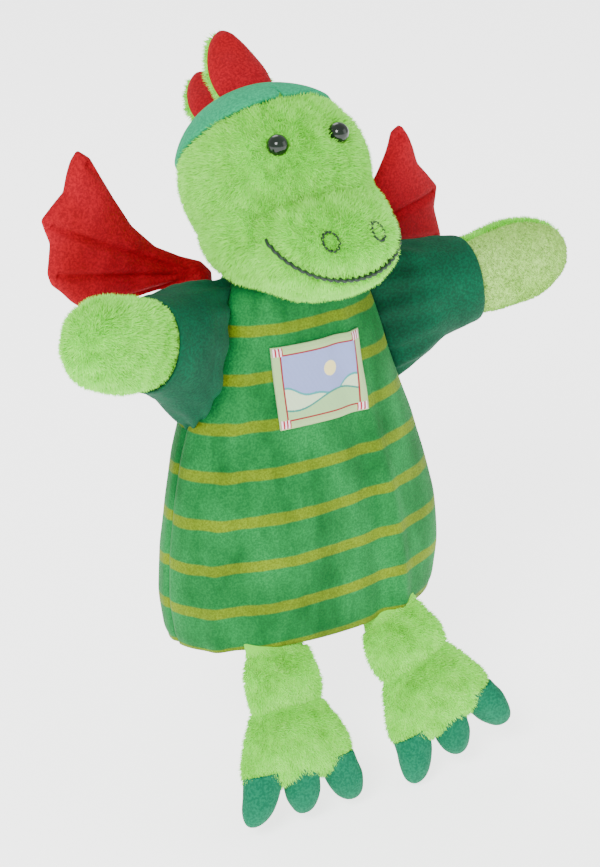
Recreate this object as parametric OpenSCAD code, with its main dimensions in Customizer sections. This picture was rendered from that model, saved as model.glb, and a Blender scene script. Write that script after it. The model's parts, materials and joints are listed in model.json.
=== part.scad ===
// Plush dragon glove puppet with a stitched smile, as separate sewn pieces.
// Frame: +Z up the body, the puppet faces -Y, its left side is +X,
// and the origin is the middle of the hand opening at the hem.

/* [Tunic] */
// Height of the tunic from the hem to the neck seam.
tunic_height = 183; // [150:1:220]
// Width of the tunic at the hem, side seam to side seam.
tunic_width = 147; // [120:1:180]
// Depth of the tunic at the hem, front to back.
tunic_depth = 72; // [56:1:90]
// Width of the tunic at the shoulders.
shoulder_width = 82; // [66:1:98]
// Depth of the tunic at the shoulders.
shoulder_depth = 48; // [42:1:58]
// Distance of the neck seam outside the throat radius.
neck_seam_margin = 4; // [2.5:0.5:8]
// Thickness of the tunic cloth with its backing.
cloth_thickness = 2; // [1.4:0.1:3]
// Depth of the turned-in facing at the hem.
facing_depth = 18; // [10:1:30]
// Thickness of the hem facing.
facing_thickness = 1.2; // [0.8:0.1:2]
// Height of the binding on the neck seam.
binding_height = 3; // [2:0.5:5]

/* [Chest patch] */
// Width of the chest patch.
patch_width = 48; // [30:1:54]
// Height of the chest patch.
patch_height = 39; // [26:1:46]
// Height of the middle of the patch above the hem.
patch_level = 129; // [110:1:140]
// Thickness of the chest patch.
patch_thickness = 1.1; // [0.8:0.1:2]

/* [Neck] */
// Radius of the round throat inside the neck.
throat_radius = 19; // [16:0.5:20.5]
// Radius of the finger way through the throat.
throat_bore = 13; // [12:0.5:15]
// Height of the throat above the neck seam.
throat_rise = 3; // [0:0.5:6]
// Gap around the throat, so that the head turns freely.
throat_gap = 0.4; // [0.3:0.05:0.8]

/* [Head] */
// Height of the skull's middle above the neck.
skull_rise = 35; // [30:0.5:40]
// Height of the cheeks' middle above the neck.
cheek_rise = 13; // [9:0.5:17]
// Half depth of the cheeks.
cheek_half_depth = 36; // [30:0.5:40]
// Half height of the cheeks.
cheek_half_height = 26; // [22:0.5:30]
// Height of the muzzle's middle above the neck.
muzzle_rise = 12; // [9:0.5:16]
// Half depth of the muzzle.
muzzle_half_depth = 34; // [28:0.5:38]
// Half width of the skull.
skull_half_width = 44; // [36:0.5:52]
// Half depth of the skull.
skull_half_depth = 44; // [34:0.5:50]
// Half height of the skull.
skull_half_height = 39; // [32:0.5:46]
// Half width of the cheeks.
cheek_half_width = 45; // [37:0.5:53]
// Half width of the muzzle.
muzzle_half_width = 35; // [28:0.5:42]
// Reach of the muzzle in front of the skull's middle.
muzzle_reach = 73; // [62:0.5:80]
// Half height of the muzzle.
muzzle_half_height = 23; // [18:0.5:28]
// Thickness of the plush skin on the head.
skin_thickness = 3; // [2:0.5:5]
// Radius of the finger tube in the head.
finger_radius = 11; // [10:0.25:11.5]
// Depth of the finger tube in the head.
finger_depth = 42; // [34:1:44]
// Wall of the finger tube.
finger_wall = 1.5; // [1:0.25:2.5]

/* [Face] */
// Radius of one eye.
eye_radius = 5; // [3.5:0.25:7]
// Distance between the middles of the eyes.
eye_spacing = 30; // [24:0.5:40]
// Distance between the middles of the nostrils.
nostril_spacing = 27; // [20:0.5:34]
// Radius of one stitched nostril ring.
nostril_radius = 3.8; // [2.5:0.1:5]
// Radius of the stitching thread.
thread_radius = 0.9; // [0.5:0.1:1.4]
// Rise of the eyes above the head's middle, for their direction.
eye_height = 31; // [24:0.5:38]
// Advance of the eyes before the head's middle, for their direction.
eye_advance = 27; // [21:0.5:33]
// Angle of the smile's middle below the head's middle.
smile_level = -18; // [-24:1:-14]
// Rise of the smile's ends above its middle.
smile_lift = 13; // [6:1:18]
// Half angle of the smile around the muzzle.
smile_half_angle = 37; // [28:1:50]

/* [Nodding room] */
// Radius of the room under the head, at its lower edge.
room_foot_radius = 54; // [50:0.5:56]
// Radius of the room at the level of the neck.
room_rim_radius = 32; // [30:0.5:33]
// Distance of the room's top edge inside the throat's radius.
room_top_margin = 5; // [4:0.5:8]
// Depth of the room below the neck.
room_depth = 30; // [28:0.5:32]
// Height of the room above the neck.
room_height = 13; // [12:0.5:14]

/* [Bonnet] */
// Clearance between the skins and what lies against them.
seat = 0.4; // [0.2:0.05:0.8]
// Distance of the bonnet's seam behind the head's middle, at the middle's own height.
seam_back = 44; // [36:1:50]
// Forward slope of the bonnet's seam.
seam_slope = 1.12; // [0.9:0.02:1.3]

/* [Crest] */
// Width of one crest petal.
petal_width = 28; // [22:1:40]
// Length of one crest petal.
petal_length = 36; // [26:1:48]
// Backward lean of the first petal.
first_lean = 50; // [36:1:60]
// Backward lean of the second petal.
second_lean = 68; // [60:1:80]
// Thickness of one petal panel.
petal_panel = 5; // [3:0.5:8]

/* [Arms] */
// Height of the shoulder above the hem.
shoulder_level = 147; // [138:1:152]
// Radius of the round shoulder gusset.
gusset_radius = 24; // [20:0.5:25]
// Gap between the gusset and the pieces that move on it.
gusset_gap = 0.5; // [0.3:0.1:0.8]
// Thickness of the shoulder gusset.
gusset_wall = 2.5; // [1.5:0.25:4]
// Length of the sleeve from its root to the cuff.
sleeve_length = 33; // [28:1:48]
// Height of the sleeve at its root.
sleeve_root_height = 52; // [44:1:56]
// Height of the sleeve at the cuff.
cuff_height = 42; // [34:1:46]
// Depth of the sleeve, front to back.
sleeve_depth = 40; // [34:1:44]
// Length of the mitt.
mitt_length = 56; // [42:1:66]
// Height of the mitt.
mitt_height = 43; // [38:1:51]
// Depth of the mitt, front to back.
mitt_depth = 32; // [28:1:40]
// Turn of the right arm to the front at rest.
right_forward = 28; // [0:1:45]
// Lift of the right arm at rest.
right_lift = 19; // [0:1:25]
// Turn of the left arm to the front at rest.
left_forward = 5; // [0:1:45]
// Lift of the left arm at rest.
left_lift = 6; // [0:1:25]

/* [Wings] */
// Span of one wing from its root.
wing_span = 88; // [68:1:106]
// Height of one wing.
wing_height = 76; // [60:1:92]
// Thickness of one wing panel.
wing_panel = 3.5; // [2:0.25:5]
// Distance of the wings' hinge line behind the shoulders.
wing_stand = 6; // [5.5:0.5:10]
// Distance of the wing root from the middle of the back.
wing_root = 24; // [18:1:30]
// Height of the lower corner of the wing above the hem.
wing_level = 168; // [158:1:178]
// Droop of the left wing at rest.
left_droop = 18; // [0:1:22]
// Backward sweep of the left wing at rest.
left_sweep = 8; // [0:1:14]

/* [Legs] */
// Distance of the hips behind the front of the hem.
hip_inset = 4; // [3:0.5:8]
// Distance of each hip from the middle.
hip_spacing = 33; // [26:1:38]
// Width of the shank.
shank_width = 40; // [28:1:44]
// Length of the shank from the hip to the ankle stitching.
shank_length = 24; // [20:1:40]
// Thickness of the shank.
shank_depth = 17; // [12:1:20]
// Width of the foot at the toes.
foot_width = 56; // [44:1:60]
// Length of the foot from the ankle to the toes.
foot_length = 33; // [28:1:46]
// Thickness of the top of the foot.
foot_depth = 19; // [12:0.5:24]
// Thickness of the sole.
sole_thickness = 3; // [2:0.5:5]
// Length of one toe.
toe_length = 23; // [16:1:30]
// Tilt of the legs to the front.
leg_tilt = 20; // [0:1:30]
// Splay of the left leg to the side.
left_splay = 18; // [0:1:20]
// Splay of the right leg to the side.
right_splay = 3; // [0:1:20]
// Radius of the rolled root of each leg under the hem.
leg_root = 4; // [3:0.5:6]
// Gap between the root of each leg and the hem.
leg_gap = 0.6; // [0.4:0.1:2]

/* [Hidden] */
$fn = 48;
fit = 0.05;
neck_seam_radius = throat_radius + neck_seam_margin;
room_top_radius = throat_radius - room_top_margin;
neck_centre = [0, 2, tunic_height + throat_rise];
skull = [0, 7, neck_centre[2] + skull_rise];
skull_r = [skull_half_width, skull_half_depth, skull_half_height];
cheek = [0, -12, neck_centre[2] + cheek_rise];
cheek_r = [cheek_half_width, cheek_half_depth, cheek_half_height];
muzzle = [0, muzzle_half_depth + 6 - muzzle_reach, neck_centre[2] + muzzle_rise];
muzzle_r = [muzzle_half_width, muzzle_half_depth, muzzle_half_height];
head_mid = [0, 4, neck_centre[2] + 26];
pivot_x = shoulder_width / 2 - 1;
wing_y = shoulder_depth / 2 + wing_stand;
hip_y = hip_inset - tunic_depth / 2;
hip_z = -leg_root - leg_gap;
ankle_root = 5;
sleeve_start = gusset_radius + 1.5;

// Each tunic row holds the height, half width and half depth of one section.
tunic_rows = [
  [0, tunic_width / 2 - 1, tunic_depth / 2],
  [tunic_height * 0.13, tunic_width / 2 + 1.5, tunic_depth / 2 + 1],
  [tunic_height * 0.27, tunic_width / 2, tunic_depth / 2],
  [tunic_height * 0.40, tunic_width / 2 - 4, tunic_depth / 2 - 2],
  [tunic_height * 0.52, tunic_width * 0.25 + shoulder_width * 0.34, tunic_depth / 2 - 4],
  [tunic_height * 0.62, tunic_width * 0.10 + shoulder_width * 0.54, tunic_depth / 4 + shoulder_depth / 4],
  [tunic_height * 0.72, shoulder_width * 0.63, shoulder_depth / 2 + 3],
  [tunic_height * 0.82, shoulder_width * 0.56, shoulder_depth / 2 + 1],
  [tunic_height * 0.90, shoulder_width / 2, shoulder_depth / 2],
  [tunic_height * 0.95, shoulder_width * 0.42, shoulder_depth / 2 - 0.5],
  [tunic_height * 0.98, shoulder_width * 0.34, shoulder_depth / 2 - 0.8],
  [tunic_height, neck_seam_radius, neck_seam_radius - 0.2]];

function spow(v, e) = sign(v) * pow(abs(v), e);
function section(a, b, e, phi) = [a * spow(cos(phi), 2 / e), b * spow(sin(phi), 2 / e)];
function row_pts(row, e, p0, p1, n, t) = [for (i = [0:n])
  let (q = section(row[1] - t, row[2] - t, e, p0 + (p1 - p0) * i / n)) [q[0], q[1], row[0]]];

// Closed solid between an outer and an inner grid of points.
module grid_solid(outer, inner) {
  m = len(outer);
  n = len(outer[0]);
  pts = concat([for (r = outer) each r], [for (r = inner) each r]);
  k = m * n;
  polyhedron(points = pts, faces = concat(
    [for (j = [0:m - 2], i = [0:n - 2]) [j * n + i, j * n + n + i, j * n + i + 1]],
    [for (j = [0:m - 2], i = [0:n - 2]) [j * n + n + i, j * n + n + i + 1, j * n + i + 1]],
    [for (j = [0:m - 2], i = [0:n - 2]) [k + j * n + i, k + j * n + i + 1, k + j * n + n + i]],
    [for (j = [0:m - 2], i = [0:n - 2]) [k + j * n + n + i, k + j * n + i + 1, k + j * n + n + i + 1]],
    [for (i = [0:n - 2]) [i, i + 1, k + i + 1]],
    [for (i = [0:n - 2]) [i, k + i + 1, k + i]],
    [for (i = [0:n - 2]) [(m - 1) * n + i, k + (m - 1) * n + i + 1, (m - 1) * n + i + 1]],
    [for (i = [0:n - 2]) [(m - 1) * n + i, k + (m - 1) * n + i, k + (m - 1) * n + i + 1]],
    [for (j = [0:m - 2]) [j * n, k + j * n + n, j * n + n]],
    [for (j = [0:m - 2]) [j * n, k + j * n, k + j * n + n]],
    [for (j = [0:m - 2]) [j * n + n - 1, j * n + 2 * n - 1, k + j * n + 2 * n - 1]],
    [for (j = [0:m - 2]) [j * n + n - 1, k + j * n + 2 * n - 1, k + j * n + n - 1]]));
}

// Half of a sewn tube, from angle p0 to p1 around its long axis.
module half_tube(rows, e, p0, p1, n, t0, t1) {
  grid_solid([for (r = rows) row_pts(r, e, p0, p1, n, t0)], [for (r = rows) row_pts(r, e, p0, p1, n, t1)]);
}

// Solid stuffed piece with a section at each row.
module stuffed(rows, e, p0, p1, n) {
  m = len(rows);
  pts = [for (r = rows) each row_pts(r, e, p0, p1, n - 1, 0)];
  polyhedron(points = pts, faces = concat(
    [for (j = [0:m - 2], i = [0:n - 1]) [j * n + i, j * n + n + i, j * n + (i + 1) % n]],
    [for (j = [0:m - 2], i = [0:n - 1]) [j * n + n + i, j * n + n + (i + 1) % n, j * n + (i + 1) % n]],
    [[for (i = [0:n - 1]) i]],
    [[for (i = [n - 1:-1:0]) (m - 1) * n + i]]));
}

// Distance along direction d from the head's middle to the far side of one ellipsoid.
function reach(d, c, r) =
  let (o = c - head_mid, p = [d[0] / r[0], d[1] / r[1], d[2] / r[2]], q = [o[0] / r[0], o[1] / r[1], o[2] / r[2]])
  let (a = p * p, b = p * q, disc = b * b - a * (q * q - 1))
  disc > 0 ? max(1, (b + sqrt(disc)) / a) : 1;
function head_r(d) = pow(pow(reach(d, skull, skull_r), 14) + pow(reach(d, cheek, cheek_r), 14)
  + pow(reach(d, muzzle, muzzle_r), 14), 1 / 14);
function dir(az, el) = [cos(az) * cos(el), sin(az) * cos(el), sin(el)];
function on_head(d, lift) = head_mid + (head_r(d) + lift) * d / norm(d);
// Azimuth at which the bonnet's seam crosses an elevation.
function seam(el) = asin(min(0.98, max(-0.98, (seam_back / 46 - seam_slope * sin(el)) / cos(el))));
function head_rows(front, n, m, t) = [for (j = [0:m]) let (el = 89 - 178 * j / m, a = seam(el)) [for (i = [0:n])
  on_head(dir(front ? 180 - a + (180 + 2 * a) * i / n : a + (180 - 2 * a) * i / n, el), -t)]];

// Whole head as one solid, out to the given lift above the skin.
module head_solid(t) {
  n = 40;
  m = 16;
  pts = [for (j = [0:m], i = [0:n - 1]) on_head(dir(180 + 360 * i / n, 89 - 178 * j / m), -t)];
  polyhedron(points = pts, faces = concat(
    [for (j = [0:m - 1], i = [0:n - 1]) [j * n + i, j * n + (i + 1) % n, j * n + n + i]],
    [for (j = [0:m - 1], i = [0:n - 1]) [j * n + n + i, j * n + (i + 1) % n, j * n + n + (i + 1) % n]],
    [[for (i = [n - 1:-1:0]) i]],
    [[for (i = [0:n - 1]) m * n + i]]));
}

// Room under the head for the throat, the neck seam and the nod.
module neck_room() {
  translate(neck_centre) sphere(r = throat_radius + throat_gap);
  translate([0, neck_centre[1], neck_centre[2] - room_depth]) cylinder(r1 = room_foot_radius, r2 = room_rim_radius, h = room_depth);
  translate(neck_centre) cylinder(r1 = room_rim_radius, r2 = room_top_radius, h = room_height);
}

// Piece that follows a line of points on the head.
module thread(path, r, k) {
  n = len(path);
  rings = [for (j = [0:n - 1])
    let (a = path[max(j - 1, 0)], b = path[min(j + 1, n - 1)], w = (b - a) / norm(b - a))
    let (o = path[j] - head_mid, s = cross(w, o) / norm(cross(w, o)), u = cross(s, w))
    [for (i = [0:k - 1]) path[j] + r * (cos(360 * i / k) * s + sin(360 * i / k) * u)]];
  pts = [for (q = rings) each q];
  polyhedron(points = pts, faces = concat(
    [for (j = [0:n - 2], i = [0:k - 1]) [j * k + i, j * k + k + i, j * k + (i + 1) % k]],
    [for (j = [0:n - 2], i = [0:k - 1]) [j * k + k + i, j * k + k + (i + 1) % k, j * k + (i + 1) % k]],
    [[for (i = [0:k - 1]) i]],
    [[for (i = [k - 1:-1:0]) (n - 1) * k + i]]));
}

module armholes() {
  for (s = [-1, 1]) translate([s * pivot_x, 0, shoulder_level]) sphere(r = gusset_radius + gusset_gap);
}

module tunic_front() {
  color("green") difference() {
    half_tube(tunic_rows, 2.3, 180, 360, 24, 0, cloth_thickness);
    armholes();
  }
}

module tunic_back() {
  color("green") difference() {
    half_tube(tunic_rows, 2.3, 0, 180, 24, 0, cloth_thickness);
    armholes();
  }
}

function facing_row(f) = [facing_depth * f, lookup(facing_depth * f, [for (r = tunic_rows) [r[0], r[1]]]),
  lookup(facing_depth * f, [for (r = tunic_rows) [r[0], r[2]]])];
module hem_facing() {
  rows = [for (j = [0:3]) facing_row(j / 3)];
  color("darkgreen") union() {
    half_tube(rows, 2.3, 180, 360, 24, cloth_thickness + fit, cloth_thickness + facing_thickness);
    half_tube(rows, 2.3, 0, 180, 24, cloth_thickness + fit, cloth_thickness + facing_thickness);
  }
}

module neck_binding() {
  color("darkgreen") translate([0, 0, tunic_height]) difference() {
    cylinder(r = neck_seam_radius, h = binding_height);
    translate([0, neck_centre[1], throat_rise]) sphere(r = throat_radius + throat_gap);
    translate([0, 0, -1]) cylinder(r = throat_radius - 1, h = binding_height + 2);
  }
}

function patch_pt(u, v, t) =
  let (z = patch_level + (v - 0.5) * patch_height, x = (u - 0.5) * patch_width)
  let (a = lookup(z, [for (r = tunic_rows) [r[0], r[1]]]), b = lookup(z, [for (r = tunic_rows) [r[0], r[2]]]))
  [x, -b * pow(1 - pow(abs(x) / a, 2.3), 1 / 2.3) - t, z];
module chest_patch() {
  color("lavender") grid_solid(
    [for (j = [0:8]) [for (i = [0:12]) patch_pt(i / 12, j / 8, fit + patch_thickness)]],
    [for (j = [0:8]) [for (i = [0:12]) patch_pt(i / 12, j / 8, fit)]]);
}

module throat() {
  color("teal") translate(neck_centre) difference() {
    sphere(r = throat_radius);
    cylinder(r = throat_bore, h = 3 * throat_radius, center = true);
  }
}

module head_filling() {
  color("white") difference() {
    head_solid(skin_thickness + seat);
    skin(true);
    skin(false);
    neck_room();
    translate(neck_centre) cylinder(r = finger_radius + finger_wall, h = throat_radius + finger_depth + finger_wall);
  }
}

module finger_tube() {
  color("beige") translate(neck_centre + [0, 0, throat_radius + throat_gap]) difference() {
    cylinder(r = finger_radius + finger_wall, h = finger_depth + finger_wall - throat_gap);
    translate([0, 0, -1]) cylinder(r = finger_radius, h = finger_depth + 1 - throat_gap);
  }
}

// One skin of the head: the face when front is true, else the bonnet.
module skin(front) {
  n = front ? 32 : 20;
  grid_solid(head_rows(front, n, 18, skin_thickness), head_rows(front, n, 18, 0));
}
module face_skin() {
  color("yellowgreen") difference() {
    skin(true);
    neck_room();
  }
}

module hood() {
  color("mediumseagreen") difference() {
    skin(false);
    neck_room();
  }
}

function eye_dir(s) = [s * eye_spacing / 2, -eye_advance, eye_height] / norm([eye_spacing / 2, eye_advance, eye_height]);
module eye_at(s) {
  color("black") difference() {
    translate(head_mid + (head_r(eye_dir(s)) + 0.6) * eye_dir(s)) sphere(r = eye_radius);
    head_solid(-seat);
  }
}
module eye_left() {
  eye_at(1);
}
module eye_right() {
  eye_at(-1);
}

module mouth_stitch() {
  path = [for (i = [0:28]) let (k = i / 14 - 1)
    on_head(dir(270 + k * smile_half_angle, smile_level + smile_lift * k * k), 0.1)];
  color("black") difference() {
    thread(path, thread_radius, 8);
    head_solid(-seat);
    skin(true);
  }
}

module nostril_at(s) {
  mid = dir(270 + s * asin(nostril_spacing / 2 / muzzle_reach), -3);
  path = [for (i = [0:17]) let (a = 360 * i / 18)
    on_head(mid + [nostril_radius / muzzle_reach * cos(a), 0, nostril_radius / muzzle_reach * sin(a)], 0.1)];
  color("black") difference() {
    thread(path, thread_radius * 0.8, 6);
    head_solid(-seat);
  }
}
module nostril_left() {
  nostril_at(1);
}
module nostril_right() {
  nostril_at(-1);
}

// Pointed petal outline with its root at the origin.
function petal_outline() = concat(
  [for (i = [0:12]) let (k = i / 12) [petal_width / 2 * sqrt(max(0, 1 - k * k)) * (1 + 0.15 * sin(180 * k)),
    petal_length * pow(k, 1.15)]],
  [for (i = [11:-1:0]) let (k = i / 12) [-petal_width / 2 * sqrt(max(0, 1 - k * k)) * (1 + 0.15 * sin(180 * k)),
    petal_length * pow(k, 1.15)]],
  [[-petal_width / 2, -8], [petal_width / 2, -8]]);
module petal(root, lean, front) {
  difference() {
    translate(root) rotate([90 - lean, 0, 0]) translate([0, 0, front ? 0 : -petal_panel])
      linear_extrude(height = petal_panel) polygon(petal_outline());
    head_solid(-seat);
  }
}
root_one = on_head(dir(90, 62), 0);
root_two = on_head(dir(90, 33), 0);
module crest_one_front() {
  color("crimson") petal(root_one, first_lean, true);
}
module crest_one_back() {
  color("yellowgreen") petal(root_one, first_lean, false);
}
module crest_two_front() {
  color("crimson") petal(root_two, second_lean, true);
}
module crest_two_back() {
  color("yellowgreen") petal(root_two, second_lean, false);
}

// Places a piece built along +Z at the shoulder of one side.
module at_shoulder(s, forward, lift) {
  translate([s * pivot_x, 0, shoulder_level]) rotate([0, 0, -s * forward]) rotate([0, s * (90 - lift), 0]) children();
}
module gusset(s) {
  color("teal") translate([s * pivot_x, 0, shoulder_level]) difference() {
    sphere(r = gusset_radius);
    sphere(r = gusset_radius - gusset_wall);
    rotate([0, 90, 0]) cylinder(r = gusset_radius * 0.7, h = 3 * gusset_radius, center = true);
  }
}
module gusset_left() {
  gusset(1);
}
module gusset_right() {
  gusset(-1);
}

sleeve_rows = [
  [sleeve_start, sleeve_root_height / 2, sleeve_depth / 2],
  [sleeve_start + sleeve_length * 0.35, sleeve_root_height * 0.35 + cuff_height * 0.16, sleeve_depth / 2 + 1],
  [sleeve_start + sleeve_length * 0.75, sleeve_root_height * 0.1 + cuff_height * 0.4, sleeve_depth / 2],
  [sleeve_start + sleeve_length, cuff_height / 2, sleeve_depth / 2 - 2]];
module sleeve() {
  color("seagreen") union() {
    half_tube(sleeve_rows, 2.2, 0, 180, 16, 0, cloth_thickness);
    half_tube(sleeve_rows, 2.2, 180, 360, 16, 0, cloth_thickness);
  }
}
module sleeve_left() {
  at_shoulder(1, left_forward, left_lift) sleeve();
}
module sleeve_right() {
  at_shoulder(-1, right_forward, right_lift) sleeve();
}

mitt_start = sleeve_start + sleeve_length + fit;
mitt_rows = [for (j = [0:8]) let (k = j / 8, w = pow(max(0.02, 1 - pow(max(0, k - 0.2) / 0.8, 3.2)), 0.5))
  [mitt_start + mitt_length * (1 - pow(1 - k, 1.25)),
    max(4.5, w * ((1 - k) * (cuff_height / 2 - 1) + k * mitt_height / 2 + 3 * sin(180 * k))),
    max(4, w * mitt_depth / 2)]];
module mitt(p0) {
  difference() {
    half_tube(mitt_rows, 2.2, p0, p0 + 180, 14, 0, skin_thickness);
    translate([0, 0, mitt_start + mitt_length + 0.5]) cube([60, 60, 1], center = true);
  }
}
module mitt_left_palm() {
  color("yellowgreen") at_shoulder(1, left_forward, left_lift) mitt(180);
}
module mitt_left_back() {
  color("yellowgreen") at_shoulder(1, left_forward, left_lift) mitt(0);
}
module mitt_right_palm() {
  color("yellowgreen") at_shoulder(-1, right_forward, right_lift) mitt(180);
}
module mitt_right_back() {
  color("yellowgreen") at_shoulder(-1, right_forward, right_lift) mitt(0);
}

// Scalloped wing outline, root at the left, as shares of the span and the height.
wing_shape = [[0, -0.58], [0.08, 0.02], [0.2, 0.01], [0.35, 0.02], [0.55, 0], [0.72, 0.02],
  [0.83, 0.05], [0.88, 0.10], [0.93, 0.17], [0.985, 0.23], [1, 0.30], [0.98, 0.40], [0.965, 0.48],
  [0.985, 0.56], [1, 0.63], [0.92, 0.71], [0.86, 0.76], [0.83, 0.86], [0.80, 0.94], [0.755, 1],
  [0.69, 0.95], [0.64, 0.83], [0.57, 0.67], [0.47, 0.47], [0.33, 0.30], [0.18, 0.20], [0.06, 0.14],
  [0, 0.06]];
module wing(s, y0) {
  fall = s > 0 ? tan(left_droop) : 0;
  sweep = s > 0 ? left_sweep : 0;
  translate([s * wing_root, wing_y, wing_level]) rotate([0, 0, sweep]) translate([0, y0 - wing_y, 0])
    rotate([90, 0, 0]) translate([0, 0, -wing_panel]) linear_extrude(height = wing_panel)
      polygon([for (q = wing_shape) [s * q[0] * wing_span, q[1] * wing_height - fall * q[0] * wing_span]]);
}
module wing_left_front() {
  color("crimson") wing(1, wing_y);
}
module wing_left_back() {
  color("crimson") wing(1, wing_y + wing_panel);
}
module wing_right_front() {
  color("crimson") wing(-1, wing_y);
}
module wing_right_back() {
  color("crimson") wing(-1, wing_y + wing_panel);
}

// Places a piece that hangs along -Z from one hip.
module at_hip(s) {
  splay = s > 0 ? left_splay : right_splay;
  translate([s * hip_spacing, hip_y, hip_z]) rotate([0, -s * splay, 0]) rotate([-leg_tilt, 0, 0]) children();
}
shank_rows = [
  [-shank_length + ankle_root + 1.2, shank_width / 2 - 1, shank_depth / 2 - 2],
  [-shank_length * 0.65, shank_width / 2, shank_depth / 2],
  [-shank_length * 0.4, shank_width / 2 - 0.5, shank_depth / 2],
  [-1.5, shank_width / 2 - 7, leg_root - 0.5]];
module shank(s) {
  color("yellowgreen") union() {
    at_hip(s) stuffed(shank_rows, 2.6, 0, 345, 24);
    translate([s * hip_spacing, hip_y, hip_z]) rotate([0, 90, 0]) cylinder(r = leg_root, h = shank_width - 8, center = true);
  }
}
module shank_left() {
  shank(1);
}
module shank_right() {
  shank(-1);
}

foot_rows = [
  [-shank_length - foot_length, foot_width / 2, 1],
  [-shank_length - foot_length * 0.7, foot_width / 2 - 2, 1],
  [-shank_length - foot_length * 0.35, shank_width / 4 + foot_width / 4, 1],
  [-shank_length, shank_width / 2 - 1, 0.4]];
function foot_part(depth) = [for (r = foot_rows) [r[0], r[1], r[2] * depth]];
module foot(s) {
  color("yellowgreen") at_hip(s) union() {
    stuffed(foot_part(foot_depth), 2.2, 180, 360, 16);
    translate([0, 0, -shank_length]) rotate([0, 90, 0]) difference() {
      cylinder(r = ankle_root, h = shank_width - 4, center = true);
      translate([10, 10, 0]) cube([20, 20, foot_width], center = true);
    }
  }
}
module foot_left() {
  foot(1);
}
module foot_right() {
  foot(-1);
}
module sole(s) {
  color("tan") at_hip(s) translate([0, fit, 0]) difference() {
    stuffed(foot_part(sole_thickness), 2.2, 0, 180, 16);
    translate([0, 0, 3 - shank_length]) cube([foot_width, 40, 12], center = true);
  }
}
module sole_left() {
  sole(1);
}
module sole_right() {
  sole(-1);
}

// One toe; k is -1 for the inner, 0 for the middle and 1 for the outer toe.
module toe(s, k) {
  color("teal") at_hip(s) difference() {
    translate([s * k * foot_width * 0.335, 2 - foot_depth / 2, -shank_length - foot_length])
      rotate([0, -s * k * 12, 0]) scale([foot_width * 0.155, foot_depth * 0.55, toe_length]) sphere(r = 1);
    translate([0, 0, 20 - shank_length - foot_length]) cube([foot_width * 2, 80, 40], center = true);
  }
}
module toe_left_inner() {
  toe(1, -1);
}
module toe_left_middle() {
  toe(1, 0);
}
module toe_left_outer() {
  toe(1, 1);
}
module toe_right_inner() {
  toe(-1, -1);
}
module toe_right_middle() {
  toe(-1, 0);
}
module toe_right_outer() {
  toe(-1, 1);
}

tunic_front();
tunic_back();
hem_facing();
neck_binding();
chest_patch();
throat();
head_filling();
finger_tube();
face_skin();
hood();
eye_left();
eye_right();
mouth_stitch();
nostril_left();
nostril_right();
crest_one_front();
crest_one_back();
crest_two_front();
crest_two_back();
gusset_left();
gusset_right();
sleeve_left();
sleeve_right();
mitt_left_palm();
mitt_left_back();
mitt_right_palm();
mitt_right_back();
wing_left_front();
wing_left_back();
wing_right_front();
wing_right_back();
shank_left();
shank_right();
foot_left();
foot_right();
sole_left();
sole_right();
toe_left_inner();
toe_left_middle();
toe_left_outer();
toe_right_inner();
toe_right_middle();
toe_right_outer();
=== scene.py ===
# %% [markdown]
# # A plush dragon glove puppet
# The puppet is a velour tunic on a hand, with a long-pile head, padded wings and dangling legs.
# Every shape is sewn cloth, so each one is a smooth surface worked out with numpy and then
# softened by seams, folds and pile. The CAD model gives every place and size.

# %% The frame
import json

import bmesh
import bpy
import numpy as np
from mathutils import Matrix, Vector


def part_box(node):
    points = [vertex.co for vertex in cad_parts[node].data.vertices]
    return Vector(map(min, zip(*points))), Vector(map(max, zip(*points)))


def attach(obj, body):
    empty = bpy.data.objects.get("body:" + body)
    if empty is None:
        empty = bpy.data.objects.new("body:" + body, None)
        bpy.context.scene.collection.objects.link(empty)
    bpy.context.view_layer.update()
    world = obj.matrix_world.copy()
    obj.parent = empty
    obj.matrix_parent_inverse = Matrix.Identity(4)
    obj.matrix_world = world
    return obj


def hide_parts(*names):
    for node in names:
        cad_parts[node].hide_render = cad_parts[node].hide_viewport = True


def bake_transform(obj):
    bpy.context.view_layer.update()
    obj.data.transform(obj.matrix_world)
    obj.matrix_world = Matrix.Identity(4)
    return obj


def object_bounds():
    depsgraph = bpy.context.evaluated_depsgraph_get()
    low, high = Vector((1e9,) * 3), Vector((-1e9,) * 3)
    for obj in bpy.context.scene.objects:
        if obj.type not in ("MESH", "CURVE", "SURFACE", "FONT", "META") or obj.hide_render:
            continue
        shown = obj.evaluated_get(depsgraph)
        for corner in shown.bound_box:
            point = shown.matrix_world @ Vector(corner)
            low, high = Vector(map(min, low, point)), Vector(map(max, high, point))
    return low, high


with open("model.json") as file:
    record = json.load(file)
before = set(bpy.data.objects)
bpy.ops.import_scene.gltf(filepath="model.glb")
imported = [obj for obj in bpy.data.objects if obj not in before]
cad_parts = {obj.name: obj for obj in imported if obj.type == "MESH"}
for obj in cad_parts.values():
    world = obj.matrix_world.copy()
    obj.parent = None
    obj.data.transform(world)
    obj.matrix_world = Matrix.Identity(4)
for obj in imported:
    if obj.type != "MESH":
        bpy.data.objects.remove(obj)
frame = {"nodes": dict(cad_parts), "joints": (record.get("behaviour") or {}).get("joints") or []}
CAD_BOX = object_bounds()
MM = 0.001
TAU = 2 * np.pi
print("CAD box", CAD_BOX)

# %% [markdown]
# ## Sizes taken from the frame
# Nothing is measured twice: the tunic's height, its width and the middle of the neck come from
# the CAD nodes' boxes, so a change of the part moves everything made here.

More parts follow.
